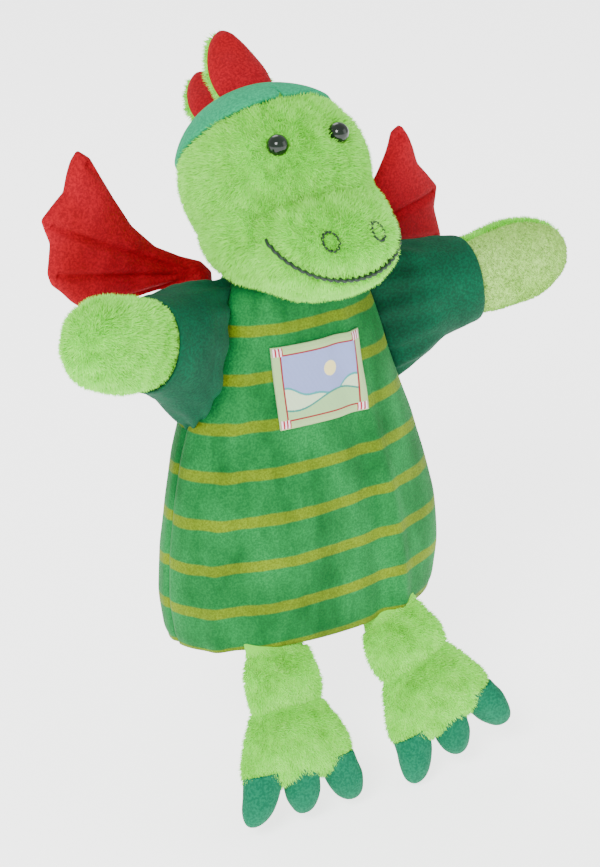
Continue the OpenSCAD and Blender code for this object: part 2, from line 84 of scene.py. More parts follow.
# %% Sizes from the CAD nodes
tunic_lo, tunic_hi = (np.array(v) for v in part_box("tunic_front"))
HEM_Z, NECK_Z = tunic_lo[2], tunic_hi[2]
HEIGHT = NECK_Z - HEM_Z
HALF_W = tunic_hi[0]
HALF_D = -tunic_lo[1]
JOINTS = {j["name"]: j for j in frame["joints"]}
NECK = np.array(JOINTS["head_nod"]["pos_m"])
print("tunic height", HEIGHT, "half width", HALF_W, "neck", NECK)

# %% [markdown]
# ## The camera, the floor and the light
# A long lens keeps the puppet's proportions, and big soft lights suit cloth: they show
# the roundness of stuffed shapes without hard shadows. The camera is placed first, so every
# later piece can be judged in the same view.

# %% Camera
EYE = np.array([-0.561, -0.969, 0.551])
AIM = np.array([-0.0019, -0.0094, 0.0963])
ROLL = np.radians(2.5)
back = (EYE - AIM) / np.linalg.norm(EYE - AIM)
right = np.cross([0, 0, 1], back)
right /= np.linalg.norm(right)
up = np.cross(back, right)
cam_x = right * np.cos(ROLL) - up * np.sin(ROLL)
cam_y = right * np.sin(ROLL) + up * np.cos(ROLL)
camera = bpy.data.objects.new("camera", bpy.data.cameras.new("camera"))
camera.data.lens = 150
camera.data.sensor_width = 36
camera.data.sensor_fit = "HORIZONTAL"
camera.matrix_world = Matrix(np.vstack([np.column_stack([cam_x, cam_y, back, EYE]), [0, 0, 0, 1]]).tolist())
bpy.context.collection.objects.link(camera)
bpy.context.scene.camera = camera
print("camera at", EYE.tolist())

# %% [markdown]
# ## Two small helpers for materials
# Colours are chosen as sRGB hex values, because that is how a dyer's sample is read on a
# screen, and a shader wants linear light. One function turns one into the other, and one
# function adds a node with its settings and its links.

# %% Colour and node helpers
def linear(hex_colour):
    """sRGB hex to linear RGBA: each channel c is c/12.92, or ((c + 0.055)/1.055) to the 2.4."""
    c = np.array([int(hex_colour[i:i + 2], 16) / 255 for i in (1, 3, 5)])
    c = np.where(c <= 0.04045, c / 12.92, ((c + 0.055) / 1.055) ** 2.4)
    return (*c.tolist(), 1.0)


def add(tree, kind, settings=None, **sockets):
    """Adds one node; settings are its properties, sockets are values or (node, output) links."""
    node = tree.nodes.new("ShaderNode" + kind)
    for key, value in (settings or {}).items():
        setattr(node, key, value)
    for key, value in sockets.items():
        numbered = key[0] == "i" and key[1:].isdigit()
        socket = node.inputs[int(key[1:]) if numbered else key.replace("_", " ")]
        if isinstance(value, tuple) and len(value) == 2 and hasattr(value[0], "outputs"):
            tree.links.new(value[0].outputs[value[1]], socket)
        else:
            socket.default_value = value
    return node


def new_material(name, **shader):
    """A material with its Principled shader; returns the material, its tree and the shader."""
    material = bpy.data.materials.new(name)
    material.use_nodes = True
    tree = material.node_tree
    bsdf = tree.nodes["Principled BSDF"]
    for key, value in shader.items():
        bsdf.inputs[key.replace("_", " ")].default_value = value
    return material, tree, bsdf


WHITE = linear("#ffffff")
print("white is", WHITE)

# %% [markdown]
# ## Velour
# Velour is a knitted cloth with a short, dense cut pile. Combed one way it is deep; combed the other way it
# looks pale from the sheen on the flattened pile. A broad noise paints that pale mottling into the colour
# as painted sheen, a fine one gives the pile's grain, and the shader's sheen gives the pale rim at grazing
# angles.

# %% Velour materials
def nap(tree, space, scale, detail=4.0, stretch=(1, 1, 1)):
    """Noise on Object coordinates, stretched along the lie of the pile."""
    mapping = add(tree, "Mapping", Vector=(space, "Object"), Scale=stretch)
    return add(tree, "TexNoise", Vector=(mapping, 0), Scale=scale, Detail=detail, Roughness=0.6)


def mix(tree, factor, a, b, mode="MIX"):
    """Mixes two colours; each is a colour or a (node, output) link."""
    node = add(tree, "Mix", {"data_type": "RGBA", "blend_type": mode})
    for socket, value in ((node.inputs[0], factor), (node.inputs[6], a), (node.inputs[7], b)):
        if isinstance(value, tuple) and len(value) == 2:
            tree.links.new(value[0].outputs[value[1]], socket)
        else:
            socket.default_value = value
    return node


def two_tone(tree, source, low, high, first, last):
    """A colour ramp on a (node, output) link: one colour up to low, another from high on."""
    node = add(tree, "ValToRGB", Fac=source)
    node.color_ramp.elements[0].position, node.color_ramp.elements[1].position = low, high
    node.color_ramp.elements[0].color, node.color_ramp.elements[1].color = first, last
    return node


def grain_bump(tree, bsdf, source, strength, distance):
    """Raises the surface by a fine pattern, for the grain of a cloth."""
    bump = add(tree, "Bump", Strength=strength, Distance=distance, Height=source)
    tree.links.new(bump.outputs[0], bsdf.inputs["Normal"])


def velour(name, deep, mid, pale, sheen_patch_share=0.45, grain_mm=1.1, grain=0.35):
    """Short cut pile: deep where it stands; its pale patches, where the pile lies flat, are painted sheen.
    """
    material, tree, bsdf = new_material(name, Roughness=0.82, Sheen_Weight=0.1, Sheen_Roughness=0.45,
                                        Sheen_Tint=linear(pale), Specular_IOR_Level=0.15)
    space = add(tree, "TexCoord")
    broad = nap(tree, space, 38.0, 3.0, (1.0, 1.0, 0.55))
    # The broad noise paints pale patches into the colour: painted sheen on pile that lies flat.
    painted_sheen_patches = two_tone(tree, (broad, 0), 0.40, 0.72, linear(mid), linear(pale))
    base = mix(tree, sheen_patch_share, linear(mid), (painted_sheen_patches, 0))
    fine = nap(tree, space, 1.0 / (grain_mm * MM), 2.0)
    specks = two_tone(tree, (fine, 0), 0.42, 0.60, (1 - grain, 1 - grain, 1 - grain, 1), WHITE)
    dark = mix(tree, 1.0, (base, 2), (specks, 0), "MULTIPLY")
    hollow = mix(tree, 0.12, (dark, 2), linear(deep))
    tree.links.new(hollow.outputs[2], bsdf.inputs["Base Color"])
    grain_bump(tree, bsdf, (fine, 0), 0.5, 0.6 * MM)
    return material


# The last colour of each velour is the pale of its painted sheen patches, and it also tints the shader's
# sheen.
RED_VELOUR = velour("red velour", "#600006", "#a00012", "#b80a26")
SLEEVE_VELOUR = velour("teal green velour", "#002014", "#00462e", "#006844")
HOOD_VELOUR = velour("bright teal velour", "#007c50", "#00a06c", "#1cb880", 0.35)
TOE_VELOUR = velour("teal toe velour", "#00422e", "#006c4a", "#008860", 0.35)
SOLE_VELOUR = velour("olive sole velour", "#5c4c28", "#8c7846", "#ab9a66")
PALE_VELOUR = velour("pale green mitt velour", "#6c9c38", "#98cc58", "#b2dc78", 0.6, 1.4, 0.25)
LINING = velour("green cotton lining", "#0c3c20", "#1c6438", "#2c7c4c", 0.2, 0.8, 0.2)
print("velours made:", len(bpy.data.materials))

# %% [markdown]
# ## Plush
# The head, the mitts and the legs are long-pile plush: tufts of fibre a few millimetres long on a knitted
# ground. The tufts are real geometry further down. This shader darkens each root, as painted shade deep in
# the pile, and lightens each tip, as painted light, and a number stored on each spike makes neighbours
# differ.

# %% Plush material
def plush(name, root, mid, tip):
    """Long pile: a value on each point runs from 0 at a root, dark as painted shade deep in the pile, to 1
    at a tip, light as painted light.
    """
    material, tree, bsdf = new_material(name, Roughness=0.7, Sheen_Weight=0.1, Sheen_Roughness=0.5,
                                        Sheen_Tint=linear(tip), Specular_IOR_Level=0.2)
    tuft = add(tree, "Attribute", {"attribute_name": "tuft"})
    # The dark root colour is painted shade deep in the pile; the light tip colour is painted light.
    ramp = add(tree, "ValToRGB", Fac=(tuft, 2))
    ramp.color_ramp.elements[0].color = linear(root)
    ramp.color_ramp.elements[1].color = linear(tip)
    middle = ramp.color_ramp.elements.new(0.45)
    middle.color = linear(mid)
    space = add(tree, "TexCoord")
    broad = nap(tree, space, 55.0, 3.0)
    shade = two_tone(tree, (broad, 0), 0.35, 0.65, (0.86, 0.9, 0.82, 1), WHITE)
    colour = mix(tree, 1.0, (ramp, 0), (shade, 0), "MULTIPLY")
    tree.links.new(colour.outputs[2], bsdf.inputs["Base Color"])
    fine = nap(tree, space, 1.0 / (1.2 * MM), 2.0)
    grain_bump(tree, bsdf, (fine, 0), 0.35, 0.8 * MM)
    return material


# Root colour: painted shade deep in the pile; tip colour: painted light on the tips.
LIME_PLUSH = plush("lime plush", "#58bc1c", "#86e63c", "#a8f66a")
print("plush made")

# %% [markdown]
# ## A surface from a grid
# Every new piece is a grid of points, worked out as whole arrays. One function puts a grid
# into a mesh: it can close the grid around, close its ends with caps, and it stores
# the grid's own two directions as a UV map, for patterns that follow the cloth.

# %% Grid to mesh
def face_out(mesh):
    """Turns the faces of a closed mesh outward."""
    form = bmesh.new()
    form.from_mesh(mesh)
    bmesh.ops.recalc_face_normals(form, faces=form.faces)
    form.to_mesh(mesh)
    form.free()


def surface(name, points, material, wrap=True, cap=True, tuft=None, rims=False):
    """A mesh from an (m, n, 3) grid. wrap joins the last column to the first; cap closes the ends."""
    m, n = points.shape[:2]
    index = np.arange(m * n).reshape(m, n)
    if wrap:
        index = np.concatenate([index, index[:, :1]], axis=1)
    quads = np.stack([index[:-1, :-1], index[:-1, 1:], index[1:, 1:], index[1:, :-1]], axis=-1).reshape(-1,
            4)
    faces = quads.tolist()
    if cap:
        faces += [index[0, :n][::-1].tolist(), index[-1, :n].tolist()]
    if rims:
        i = np.arange(n // 2 - 1)
        low = np.stack([i + 1, i, n - 1 - i, n - 2 - i], axis=1)
        faces += low.tolist() + (low[:, ::-1] + (m - 1) * n).tolist()
    mesh = bpy.data.meshes.new(name)
    mesh.from_pydata(points.reshape(-1, 3).tolist(), [], faces)
    mesh.polygons.foreach_set("use_smooth", np.ones(len(faces), bool))
    uv = np.stack(np.meshgrid(np.linspace(0, 1, n), np.linspace(0, 1, m)), axis=-1).reshape(-1, 2)
    corners = np.empty(len(mesh.loops), np.int32)
    mesh.loops.foreach_get("vertex_index", corners)
    mesh.uv_layers.new(name="cloth").data.foreach_set("uv", uv[corners].ravel())
    # Ground cloth under long pile takes a low value here, near the root colour: painted shade from the pile
    # above it.
    if tuft is not None:
        mesh.attributes.new("tuft", "FLOAT", "POINT").data.foreach_set("value",
                np.full(m * n, tuft, np.float32))
    if wrap:
        face_out(mesh)
    piece = bpy.data.objects.new(name, mesh)
    mesh.materials.append(material)
    bpy.context.collection.objects.link(piece)
    return piece


def shell(name, outer, inner, material, tuft=None):
    """A closed cloth shell: the outer grid, then the inner grid back, with a rim of quads at both ends."""
    loop = np.concatenate([outer, inner[:, ::-1]], axis=1)
    return surface(name, loop, material, cap=False, tuft=tuft, rims=True)


def tube(name, path, radius, material, sides=10, closed=False):
    """A round thread: a circle carried along a path, in the frame of the path's own turns."""
    path = np.asarray(path, float)
    ahead = np.roll(path, -1, 0) - np.roll(path, 1, 0)
    if not closed:
        ahead[0], ahead[-1] = path[1] - path[0], path[-1] - path[-2]
    ahead /= np.linalg.norm(ahead, axis=1, keepdims=True)
    side = np.cross(ahead, [0.13, 0.21, 0.97])
    side /= np.linalg.norm(side, axis=1, keepdims=True)
    other = np.cross(ahead, side)
    a = np.linspace(0, TAU, sides, endpoint=False)[None, :, None]
    rings = path[:, None] + np.asarray(radius).reshape(-1, 1,
            1) * (np.cos(a) * side[:, None] + np.sin(a) * other[:, None])
    if closed:
        rings = np.concatenate([rings, rings[:1]], axis=0)
    return surface(name, rings, material, cap=not closed)


def joined(name, pieces):
    """Makes one object of several, so that a row of stitches is one piece."""
    with bpy.context.temp_override(active_object=pieces[0], selected_editable_objects=pieces):
        bpy.ops.object.join()
    pieces[0].name = pieces[0].data.name = name
    return pieces[0]


def ripple(points, size, seed, octaves=3):
    """Soft unevenness of stuffed cloth: a sum of sine waves in turned directions, about -1 to 1."""
    rng = np.random.default_rng(seed)
    total = np.zeros(points.shape[:-1])
    for octave in range(octaves):
        for _ in range(4):
            turn = rng.normal(size=3)
            turn /= np.linalg.norm(turn)
            total += np.sin(points @ turn * TAU / size * 1.9 ** octave + rng.uniform(0, TAU)) / (2.2
                    * 1.8 ** octave)
    return total / 2


def normals_of(points, wrap=True):
    """Unit normals of a grid from the cross product of its two directions."""
    across = np.gradient(points, axis=1)
    if wrap:
        across = (np.roll(points, -1, 1) - np.roll(points, 1, 1)) / 2
    along = np.gradient(points, axis=0)
    out = np.cross(across, along)
    return out / np.maximum(np.linalg.norm(out, axis=2, keepdims=True), 1e-12)


print("surface helpers ready")

# %% [markdown]
# ## Tufts of pile
# Long pile could be a hair system, but a hair system doesn't travel with an exported
# mesh. Each tuft here is a thin three-sided spike. Its root is a random place on
# the ground cloth, its tip leans the way the pile is combed, and all of them are one mesh.

# %% Pile
def pile(name, grids, material, count, length, seed, comb=(0, 0, -1), lean=0.55, width=0.42 * MM,
        keep=None):
    """Spikes on grids of points: a root triangle of the given width, and a tip that stands
    at length along the normal plus lean times the comb direction."""
    rng = np.random.default_rng(seed)
    roots, outs = [], []
    for points, wrap in grids:
        normal = normals_of(points, wrap)
        normal = normal * np.sign((normal * (points - points.mean((0, 1)))).sum())
        a, b, c, d = points[:-1, :-1], points[1:, :-1], points[1:, 1:], points[:-1, 1:]
        area = np.linalg.norm(np.cross(c - a, b - d), axis=2).ravel()
        pick = rng.choice(area.size, count, p=area / area.sum())
        i, j = np.divmod(pick, points.shape[1] - 1)
        u, v = rng.random((count, 1)), rng.random((count, 1))
        roots.append((a[i, j] * (1 - u) + b[i, j] * u) * (1 - v) + (d[i, j] * (1 - u) + c[i, j] * u) * v)
        outs.append(normal[i, j])
    root, out = np.concatenate(roots), np.concatenate(outs)
    if keep is not None:
        chosen = keep(root)
        root, out = root[chosen], out[chosen]
    total = len(root)
    combed = np.asarray(comb, float) - out * (out @ np.asarray(comb, float))[:, None]
    clump = np.stack([ripple(root, 9 * MM, seed + k, 2) for k in (1, 2, 3)], axis=1)
    tip = out + combed * lean + 0.45 * clump + rng.normal(scale=0.22, size=(total, 3))
    tip /= np.linalg.norm(tip, axis=1, keepdims=True)
    tall = length * rng.uniform(0.55, 1.1,
            (total, 1)) * (1 + 0.2 * ripple(root, 14 * MM, seed + 5, 1)[:, None])
    side = np.cross(out, rng.normal(size=(total, 3)))
    side /= np.linalg.norm(side, axis=1, keepdims=True)
    other = np.cross(out, side)
    start = root - out * 0.4 * MM
    turn = np.array([0, TAU / 3, 2 * TAU / 3])
    ring = start[:, None] + width * (np.cos(turn)[None, :, None] * side[:, None]
            + np.sin(turn)[None, :, None] * other[:, None])
    verts = np.concatenate([ring, (start + tip * tall)[:, None]], axis=1).reshape(-1, 3)
    first = 4 * np.arange(total)[:, None]
    faces = np.concatenate([first + k for k in ([0, 1, 3], [1, 2, 3], [2, 0, 3], [0, 2, 1])],
            axis=1).reshape(-1, 3)
    mesh = bpy.data.meshes.new(name)
    mesh.from_pydata(verts.tolist(), [], faces.tolist())
    # Each spike's root gets 0.22, painted shade deep in the pile, and its tip 0.86, painted light; a random
    # amount per spike varies the tone.
    shade = rng.uniform(-0.16, 0.16, (total, 1)) + 0.12 * clump[:, :1]
    value = np.clip(np.concatenate([np.full((total, 3), 0.22) + shade, 0.86 + shade], axis=1), 0, 1)
    mesh.attributes.new("tuft", "FLOAT", "POINT").data.foreach_set("value",
            value.ravel().astype(np.float32))
    mesh.materials.append(material)
    piece = bpy.data.objects.new(name, mesh)
    bpy.context.collection.objects.link(piece)
    print(name, total, "tufts")
    return piece


# %% [markdown]
# ## The tunic's cloth
# The tunic is knitted velour in dark green with narrow olive stripes. The stripes are knitted in, so they
# are level bands at a steady pitch, measured along the height. The knit's fine upright ribs show as a faint
# line pattern, and the nap's pale mottling, like that of the other velours, is painted sheen.

# %% Striped velour
STRIPE_PITCH = 22.5 * MM
STRIPE_WIDTH = 5.6 * MM
striped, tree, bsdf = new_material("striped velour", Roughness=0.8, Sheen_Weight=0.14, Sheen_Roughness=0.4,
                                   Sheen_Tint=linear("#7cc88c"), Specular_IOR_Level=0.15)
space = add(tree, "TexCoord")
axes = add(tree, "SeparateXYZ", Vector=(space, "Object"))
wobble = nap(tree, space, 60.0, 2.0)
shift = add(tree, "MapRange", Value=(wobble, 0), From_Min=0, From_Max=1, To_Min=-1.1 * MM, To_Max=1.1 * MM)
level = add(tree, "Math", {"operation": "ADD"}, i0=(axes, 2), i1=(shift, 0))
phase = add(tree, "Math", {"operation": "PINGPONG"}, i0=(level, 0), i1=STRIPE_PITCH / 2)
band = add(tree, "MapRange", {"interpolation_type": "SMOOTHSTEP"}, Value=(phase, 0),
        From_Min=STRIPE_WIDTH / 2 - 0.5 * MM,
           From_Max=STRIPE_WIDTH / 2 + 0.4 * MM, To_Min=1, To_Max=0)
broad = nap(tree, space, 30.0, 4.0, (1.3, 1.3, 0.6))
# The broad noise paints pale patches into both the green and the olive: painted sheen on the nap.
painted_sheen_patches = two_tone(tree, (broad, 0), 0.38, 0.7, linear("#005820"), linear("#16843e"))
olive = two_tone(tree, (broad, 0), 0.38, 0.7, linear("#546c02"), linear("#748c0a"))
cloth = mix(tree, (band, 0), (painted_sheen_patches, 0), (olive, 0))
fine = nap(tree, space, 1.0 / (0.9 * MM), 2.0)
specks = two_tone(tree, (fine, 0), 0.40, 0.62, (0.66, 0.66, 0.66, 1), WHITE)
grained = mix(tree, 1.0, (cloth, 2), (specks, 0), "MULTIPLY")
tree.links.new(grained.outputs[2], bsdf.inputs["Base Color"])
grain_bump(tree, bsdf, (fine, 0), 0.5, 0.6 * MM)
STRIPED_VELOUR = striped
print("stripe pitch", STRIPE_PITCH)

# %% [markdown]
# ## The tunic
# The tunic is two panels sewn at the sides, a wide bell on the player's hand. Each level is a
# superellipse, as deep as the hand inside needs. Folds run down from the armholes, the
# side seams pull in, and the hem is turned under.

# %% Tunic panels
LEVELS = np.array([0, 0.13, 0.27, 0.40, 0.52, 0.62, 0.72, 0.82, 0.90, 0.95, 0.98, 1.0])
WIDTHS = np.array([0.967, 1.0, 0.980, 0.927, 0.855, 0.765, 0.675, 0.600, 0.536, 0.450, 0.364, 0.301])
TUNIC_POWER = 2.3
DEPTHS = np.array([0.973, 1.0, 0.973, 0.919, 0.865, 0.811, 0.730, 0.676, 0.649, 0.635, 0.627, 0.616])


def smooth_profile(at, values):
    """The profile through the levels: linear, then averaged over a short stretch."""
    fine_t = np.linspace(-0.1, 1.1, 601)
    fine_v = np.interp(fine_t, LEVELS, values)
    kernel = np.hanning(41)
    soft = np.convolve(np.pad(fine_v, 20, mode="edge"), kernel / kernel.sum(), mode="valid")
    return np.interp(at, fine_t, soft)


def tunic_points(t, angle, inset=0.0):
    """Point on the tunic: superellipse of the tunic's power at share t of the height, plus folds."""
    a = HALF_W * smooth_profile(t, WIDTHS) - inset
    b = HALF_D * smooth_profile(t, DEPTHS) - inset
    c, s = np.cos(angle), np.sin(angle)
    x = a * np.sign(c) * np.abs(c) ** (2 / TUNIC_POWER)
    y = b * np.sign(s) * np.abs(s) ** (2 / TUNIC_POWER)
    z = HEM_Z + HEIGHT * t
    flare = np.clip(1 - t / 0.85, 0, 1)
    fold = 2.6 * np.exp(-((angle - 5.23 + 0.22 * t) / 0.08) ** 2) - 2.4 * np.exp(-((angle - 5.06 + 0.22
            * t) / 0.10) ** 2)
    fold += 1.7 * np.exp(-((angle - 3.75 - 0.25 * t) / 0.10) ** 2) - 1.6 * np.exp(-((angle - 3.97 - 0.25
            * t) / 0.13) ** 2)
    fold += 0.8 * np.sin(3 * angle + 1.1) * flare
    seam = -1.3 * (np.exp(-(np.minimum(angle % np.pi, np.pi - angle % np.pi) / 0.035) ** 2))
    hem = -1.4 * np.exp(-(t / 0.02) ** 2)
    pull = MM * (fold * (0.35 + 0.65 * flare) + seam + hem)
    x, y = x + pull * c, y + pull * s
    grid = np.stack([x, y, z + 0 * x], axis=-1)
    lump = ripple(grid, 75 * MM, 11, 2) * 1.1 * MM
    grid[..., 0] += lump * c
    grid[..., 1] += lump * s
    grid[..., 2] += 1.2 * MM * np.sin(2 * angle + 0.7) * np.clip(1 - t / 0.3, 0, 1)
    return grid


def panel(name, start, stop, node):
    """One panel between two angles, as a closed shell of cloth 2 mm thick."""
    t, angle = np.meshgrid(np.linspace(0, 1, 150), np.linspace(start, stop, 130), indexing="ij")
    piece = shell(name, tunic_points(t, angle), tunic_points(t, angle, 2 * MM), STRIPED_VELOUR)
    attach(piece, "tunic")
    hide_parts(node)
    return piece


tunic_front = panel("tunic_front_panel", np.pi, TAU, "tunic_front")
tunic_back = panel("tunic_back_panel", 0, np.pi, "tunic_back")
print("tunic", [round(v, 4) for v in tunic_front.dimensions])

# %% [markdown]
# ## The head's form
# The head is one stuffed form: a round skull, wide cheeks and a broad muzzle. Each of the three
# is an ellipsoid, and along every direction from a point inside the head their
# distances are blended with a high power mean, so that they melt together without a crease.

# %% Head form
UP_NECK = NECK[2]
HEAD_MID = np.array([0, 4 * MM, UP_NECK + 26 * MM])
LOBES = [(np.array([0, 7 * MM, UP_NECK + 35 * MM]), np.array([44, 44, 39]) * MM),
         (np.array([0, -12 * MM, UP_NECK + 13 * MM]), np.array([45, 36, 26]) * MM),
         (np.array([0, -33 * MM, UP_NECK + 12 * MM]), np.array([35, 34, 23]) * MM)]


def toward(azimuth, elevation):
    """Unit direction from an azimuth about +Z and an elevation, both in radians."""
    return np.stack([np.cos(azimuth) * np.cos(elevation), np.sin(azimuth) * np.cos(elevation),
            np.sin(elevation) + 0 * azimuth], axis=-1)


def head_reach(d):
    """Power mean, of exponent 14, of the far distances to the three ellipsoids."""
    total = 0
    for centre, radii in LOBES:
        o, p = (centre - HEAD_MID) / radii, d / radii
        a, b = (p * p).sum(-1), (p * o).sum(-1)
        disc = b * b - a * ((o * o).sum() - 1)
        total = total + np.where(disc > 0, np.maximum(1 * MM, (b + np.sqrt(np.maximum(disc, 0))) / a),
                1 * MM) ** 14
    return total ** (1 / 14)


SMILE_SPREAD, SMILE_LEVEL, SMILE_LIFT = 37, -18, 13


def smile(k):
    """Direction of the mouth line: k from -1 at the right corner to 1 at the left corner."""
    return toward(np.radians(270 + SMILE_SPREAD * k), np.radians(SMILE_LEVEL + SMILE_LIFT * k * k))


def head_points(azimuth, elevation, lift=0.0):
    """Point on the head: the blended reach, with the mouth drawn in by its stitches."""
    d = toward(azimuth, elevation)
    reach = head_reach(d)
    points = HEAD_MID + reach[..., None] * d
    line = HEAD_MID + head_reach(smile(np.linspace(-1, 1, 61)))[:, None] * smile(np.linspace(-1, 1, 61))
    near = np.sqrt(((points[..., None, :] - line) ** 2).sum(-1)).min(-1)
    groove = -2.4 * MM * np.exp(-(near / (3.2 * MM)) ** 2)
    lump = ripple(points, 50 * MM, 21, 2) * 0.9 * MM
    points = HEAD_MID + (reach + groove + lump + lift)[..., None] * d
    rho = np.hypot(points[..., 0], points[..., 1] - NECK[1])
    roof = UP_NECK + 1.5 * MM + np.where(rho < 32 * MM, np.minimum(13 * MM, (32 * MM - rho) * 0.72),
            -(rho - 32 * MM) * 1.3)
    under = (points[..., 2] < roof) & (rho < 54 * MM)
    points[..., 2] = np.where(under, roof, points[..., 2])
    return points


def seam(elevation):
    """Azimuth of the bonnet's seam: arcsine of (0.96 - 1.12 sin e) / cos e, which is a plane
    that slopes forward over the head."""
    return np.arcsin(np.clip((0.96 - 1.12 * np.sin(elevation)) / np.cos(elevation), -0.98, 0.98))


def head_half(name, start, stop, material, lift, node, tuft=None):
    """Face or bonnet, as a closed shell 3 mm thick, between two azimuths that change with the elevation."""
    e, share = np.meshgrid(np.radians(np.linspace(-88, 88.5, 140)), np.linspace(0, 1, 180), indexing="ij")
    a = start(e) * (1 - share) + stop(e) * share
    outer = head_points(a, e, lift)
    piece = shell(name, outer, head_points(a, e, lift - 3 * MM), material, tuft)
    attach(piece, "head")
    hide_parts(node)
    return piece, outer


face, face_grid = head_half("face_plush", lambda e: np.pi - seam(e), lambda e: TAU + seam(e), LIME_PLUSH,
        0.0, "face_skin", 0.18)
hood, hood_grid = head_half("hood_velour", lambda e: seam(e) - 0.03, lambda e: np.pi - seam(e) + 0.03,
        HOOD_VELOUR, 3.4 * MM, "hood")
print("head", [round(v, 4) for v in face.dimensions])

# %% [markdown]
# ## The face's long pile
# The pile is combed back from the muzzle and down over the cheeks. On the puppet it is clipped short around
# the eyes and the mouth so that the stitching shows; here it is left off the eyes and a narrow line along
# the mouth.

# %% Face pile
MOUTH_LINE = HEAD_MID + head_reach(smile(np.linspace(-1, 1, 81)))[:, None] * smile(np.linspace(-1, 1, 81))
EYES = [np.array([s * 15, -27, 31]) / np.sqrt(15 ** 2 + 27 ** 2 + 31 ** 2) for s in (-1, 1)]
EYE_AT = [HEAD_MID + (head_reach(d) + 0.9 * MM) * d for d in EYES]
EYE_RADIUS = 5 * MM
NOSTRIL_REACH = 73.0
NOSTRIL_MID = [toward(np.radians(270 + s * np.degrees(np.arcsin(13.5 / NOSTRIL_REACH))),
        np.radians(-3)) for s in (-1, 1)]


def clear_of_features(root):
    """Keeps tufts off the eyes, the mouth's stitches and the neck."""
    mouth = np.sqrt(((root[:, None] - MOUTH_LINE) ** 2).sum(-1)).min(1) > 2.6 * MM
    eyes = np.min([np.linalg.norm(root - e, axis=1) for e in EYE_AT], axis=0) > 4.6 * MM
    neck = np.hypot(root[:, 0], root[:, 1] - NECK[1]) > 30 * MM
    return mouth & eyes & (neck | (root[:, 2] > UP_NECK + 10 * MM))


face_pile = pile("face_pile", [(face_grid, False)], LIME_PLUSH, 62000, 3.3 * MM, 31, comb=(0, 0.5, -0.8),
        lean=0.7, keep=clear_of_features)
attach(face_pile, "head")

# %% [markdown]
# ## The eyes
# Safety eyes are moulded domes on a post with a washer behind the cloth. The plastic is almost
# black with a green cast, and polished, so each dome carries one small highlight.

# %% Eyes
eye_plastic, tree, bsdf = new_material("polished eye plastic", Base_Color=linear("#07160b"), Roughness=0.12,
        IOR=1.45)
space = add(tree, "TexCoord")
depth = nap(tree, space, 160.0, 1.0)
tint = mix(tree, (depth, 0), linear("#040c06"), linear("#0e2412"))
tree.links.new(tint.outputs[2], bsdf.inputs["Base Color"])
for side, at, out in zip(("right", "left"), EYE_AT, EYES):
    e, a = np.meshgrid(np.linspace(-np.pi / 2 + 0.02, np.pi / 2 - 0.02, 32),
            np.linspace(0, TAU, 48, endpoint=False), indexing="ij")
    globe = toward(a, e) * EYE_RADIUS
    dome = surface("eye_" + side + "_dome", at + globe, eye_plastic)
    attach(dome, "head")
    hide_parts("eye_" + side)
print("eyes at", [np.round(e, 4).tolist() for e in EYE_AT])

# %% [markdown]
# ## The smile and the nostrils
# The mouth is a line of back stitches in thick black thread, and each nostril is a ring of short
# stitches. A stitch is a short piece of thread that dives into the cloth at both ends.

# %% Embroidery
thread, tree, bsdf = new_material("black embroidery thread", Roughness=0.6)
space = add(tree, "TexCoord")
strand = nap(tree, space, 900.0, 1.0)
tint = mix(tree, (strand, 0), linear("#07140b"), linear("#1d3a25"))
tree.links.new(tint.outputs[2], bsdf.inputs["Base Color"])


def stitches(name, direction_at, count, radius, node, rise, closed=False):
    """Short threads end to end on the head; each is highest in its middle and sinks at its ends."""
    made = []
    step = 1.0 / count
    for k in range(count):
        t = np.linspace(k * step, (k + 1.12) * step, 9)
        d = direction_at(t)
        lift = rise * np.sin(np.linspace(0.12, np.pi - 0.12, 9)) - 0.9 * MM
        made.append(tube(name, HEAD_MID + (head_reach(d) + lift)[:, None] * d, np.full(9, radius), thread,
                8))
    piece = joined(name, made)
    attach(piece, "head")
    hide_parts(node)
    return piece


def ring_direction(mid):
    """Direction of a small ring about a nostril's middle."""
    def at(t):
        d = mid + 3.9 / NOSTRIL_REACH * np.stack([np.cos(TAU * t), 0 * t, np.sin(TAU * t)], axis=-1)
        return d / np.linalg.norm(d, axis=-1, keepdims=True)
    return at


mouth = stitches("mouth_stitches", lambda t: smile(2 * t - 1), 28, 0.8 * MM, "mouth_stitch", 2.4 * MM)
for side, mid in zip(("right", "left"), NOSTRIL_MID):
    stitches("nostril_" + side + "_ring", ring_direction(mid), 11, 0.48 * MM, "nostril_" + side, 3.2 * MM)
print("mouth", [round(v, 4) for v in mouth.dimensions])

# %% [markdown]
# ## Stuffed shapes with a flat outline
# Wings, crest petals and toes are cut flat, sewn face to face, turned and lightly stuffed. A
# cut like that is thin at its seam and thick in its middle. The grid runs from the outline to the middle
# line, and the thickness grows as the root of the way in.

# %% Flat cut, stuffed
def chain(corners, count, soften=3):
    """Points evenly spaced along an open line of corners, with its corners softened a little."""
    length = np.concatenate([[0], np.cumsum(np.linalg.norm(np.diff(corners, axis=0), axis=1))])
    at = np.linspace(0, length[-1], count)
    line = np.stack([np.interp(at, length, corners[:, k]) for k in (0, 1)], axis=1)
    for _ in range(soften):
        line[1:-1] = (line[:-2] + 2 * line[1:-1] + line[2:]) / 4
    return line


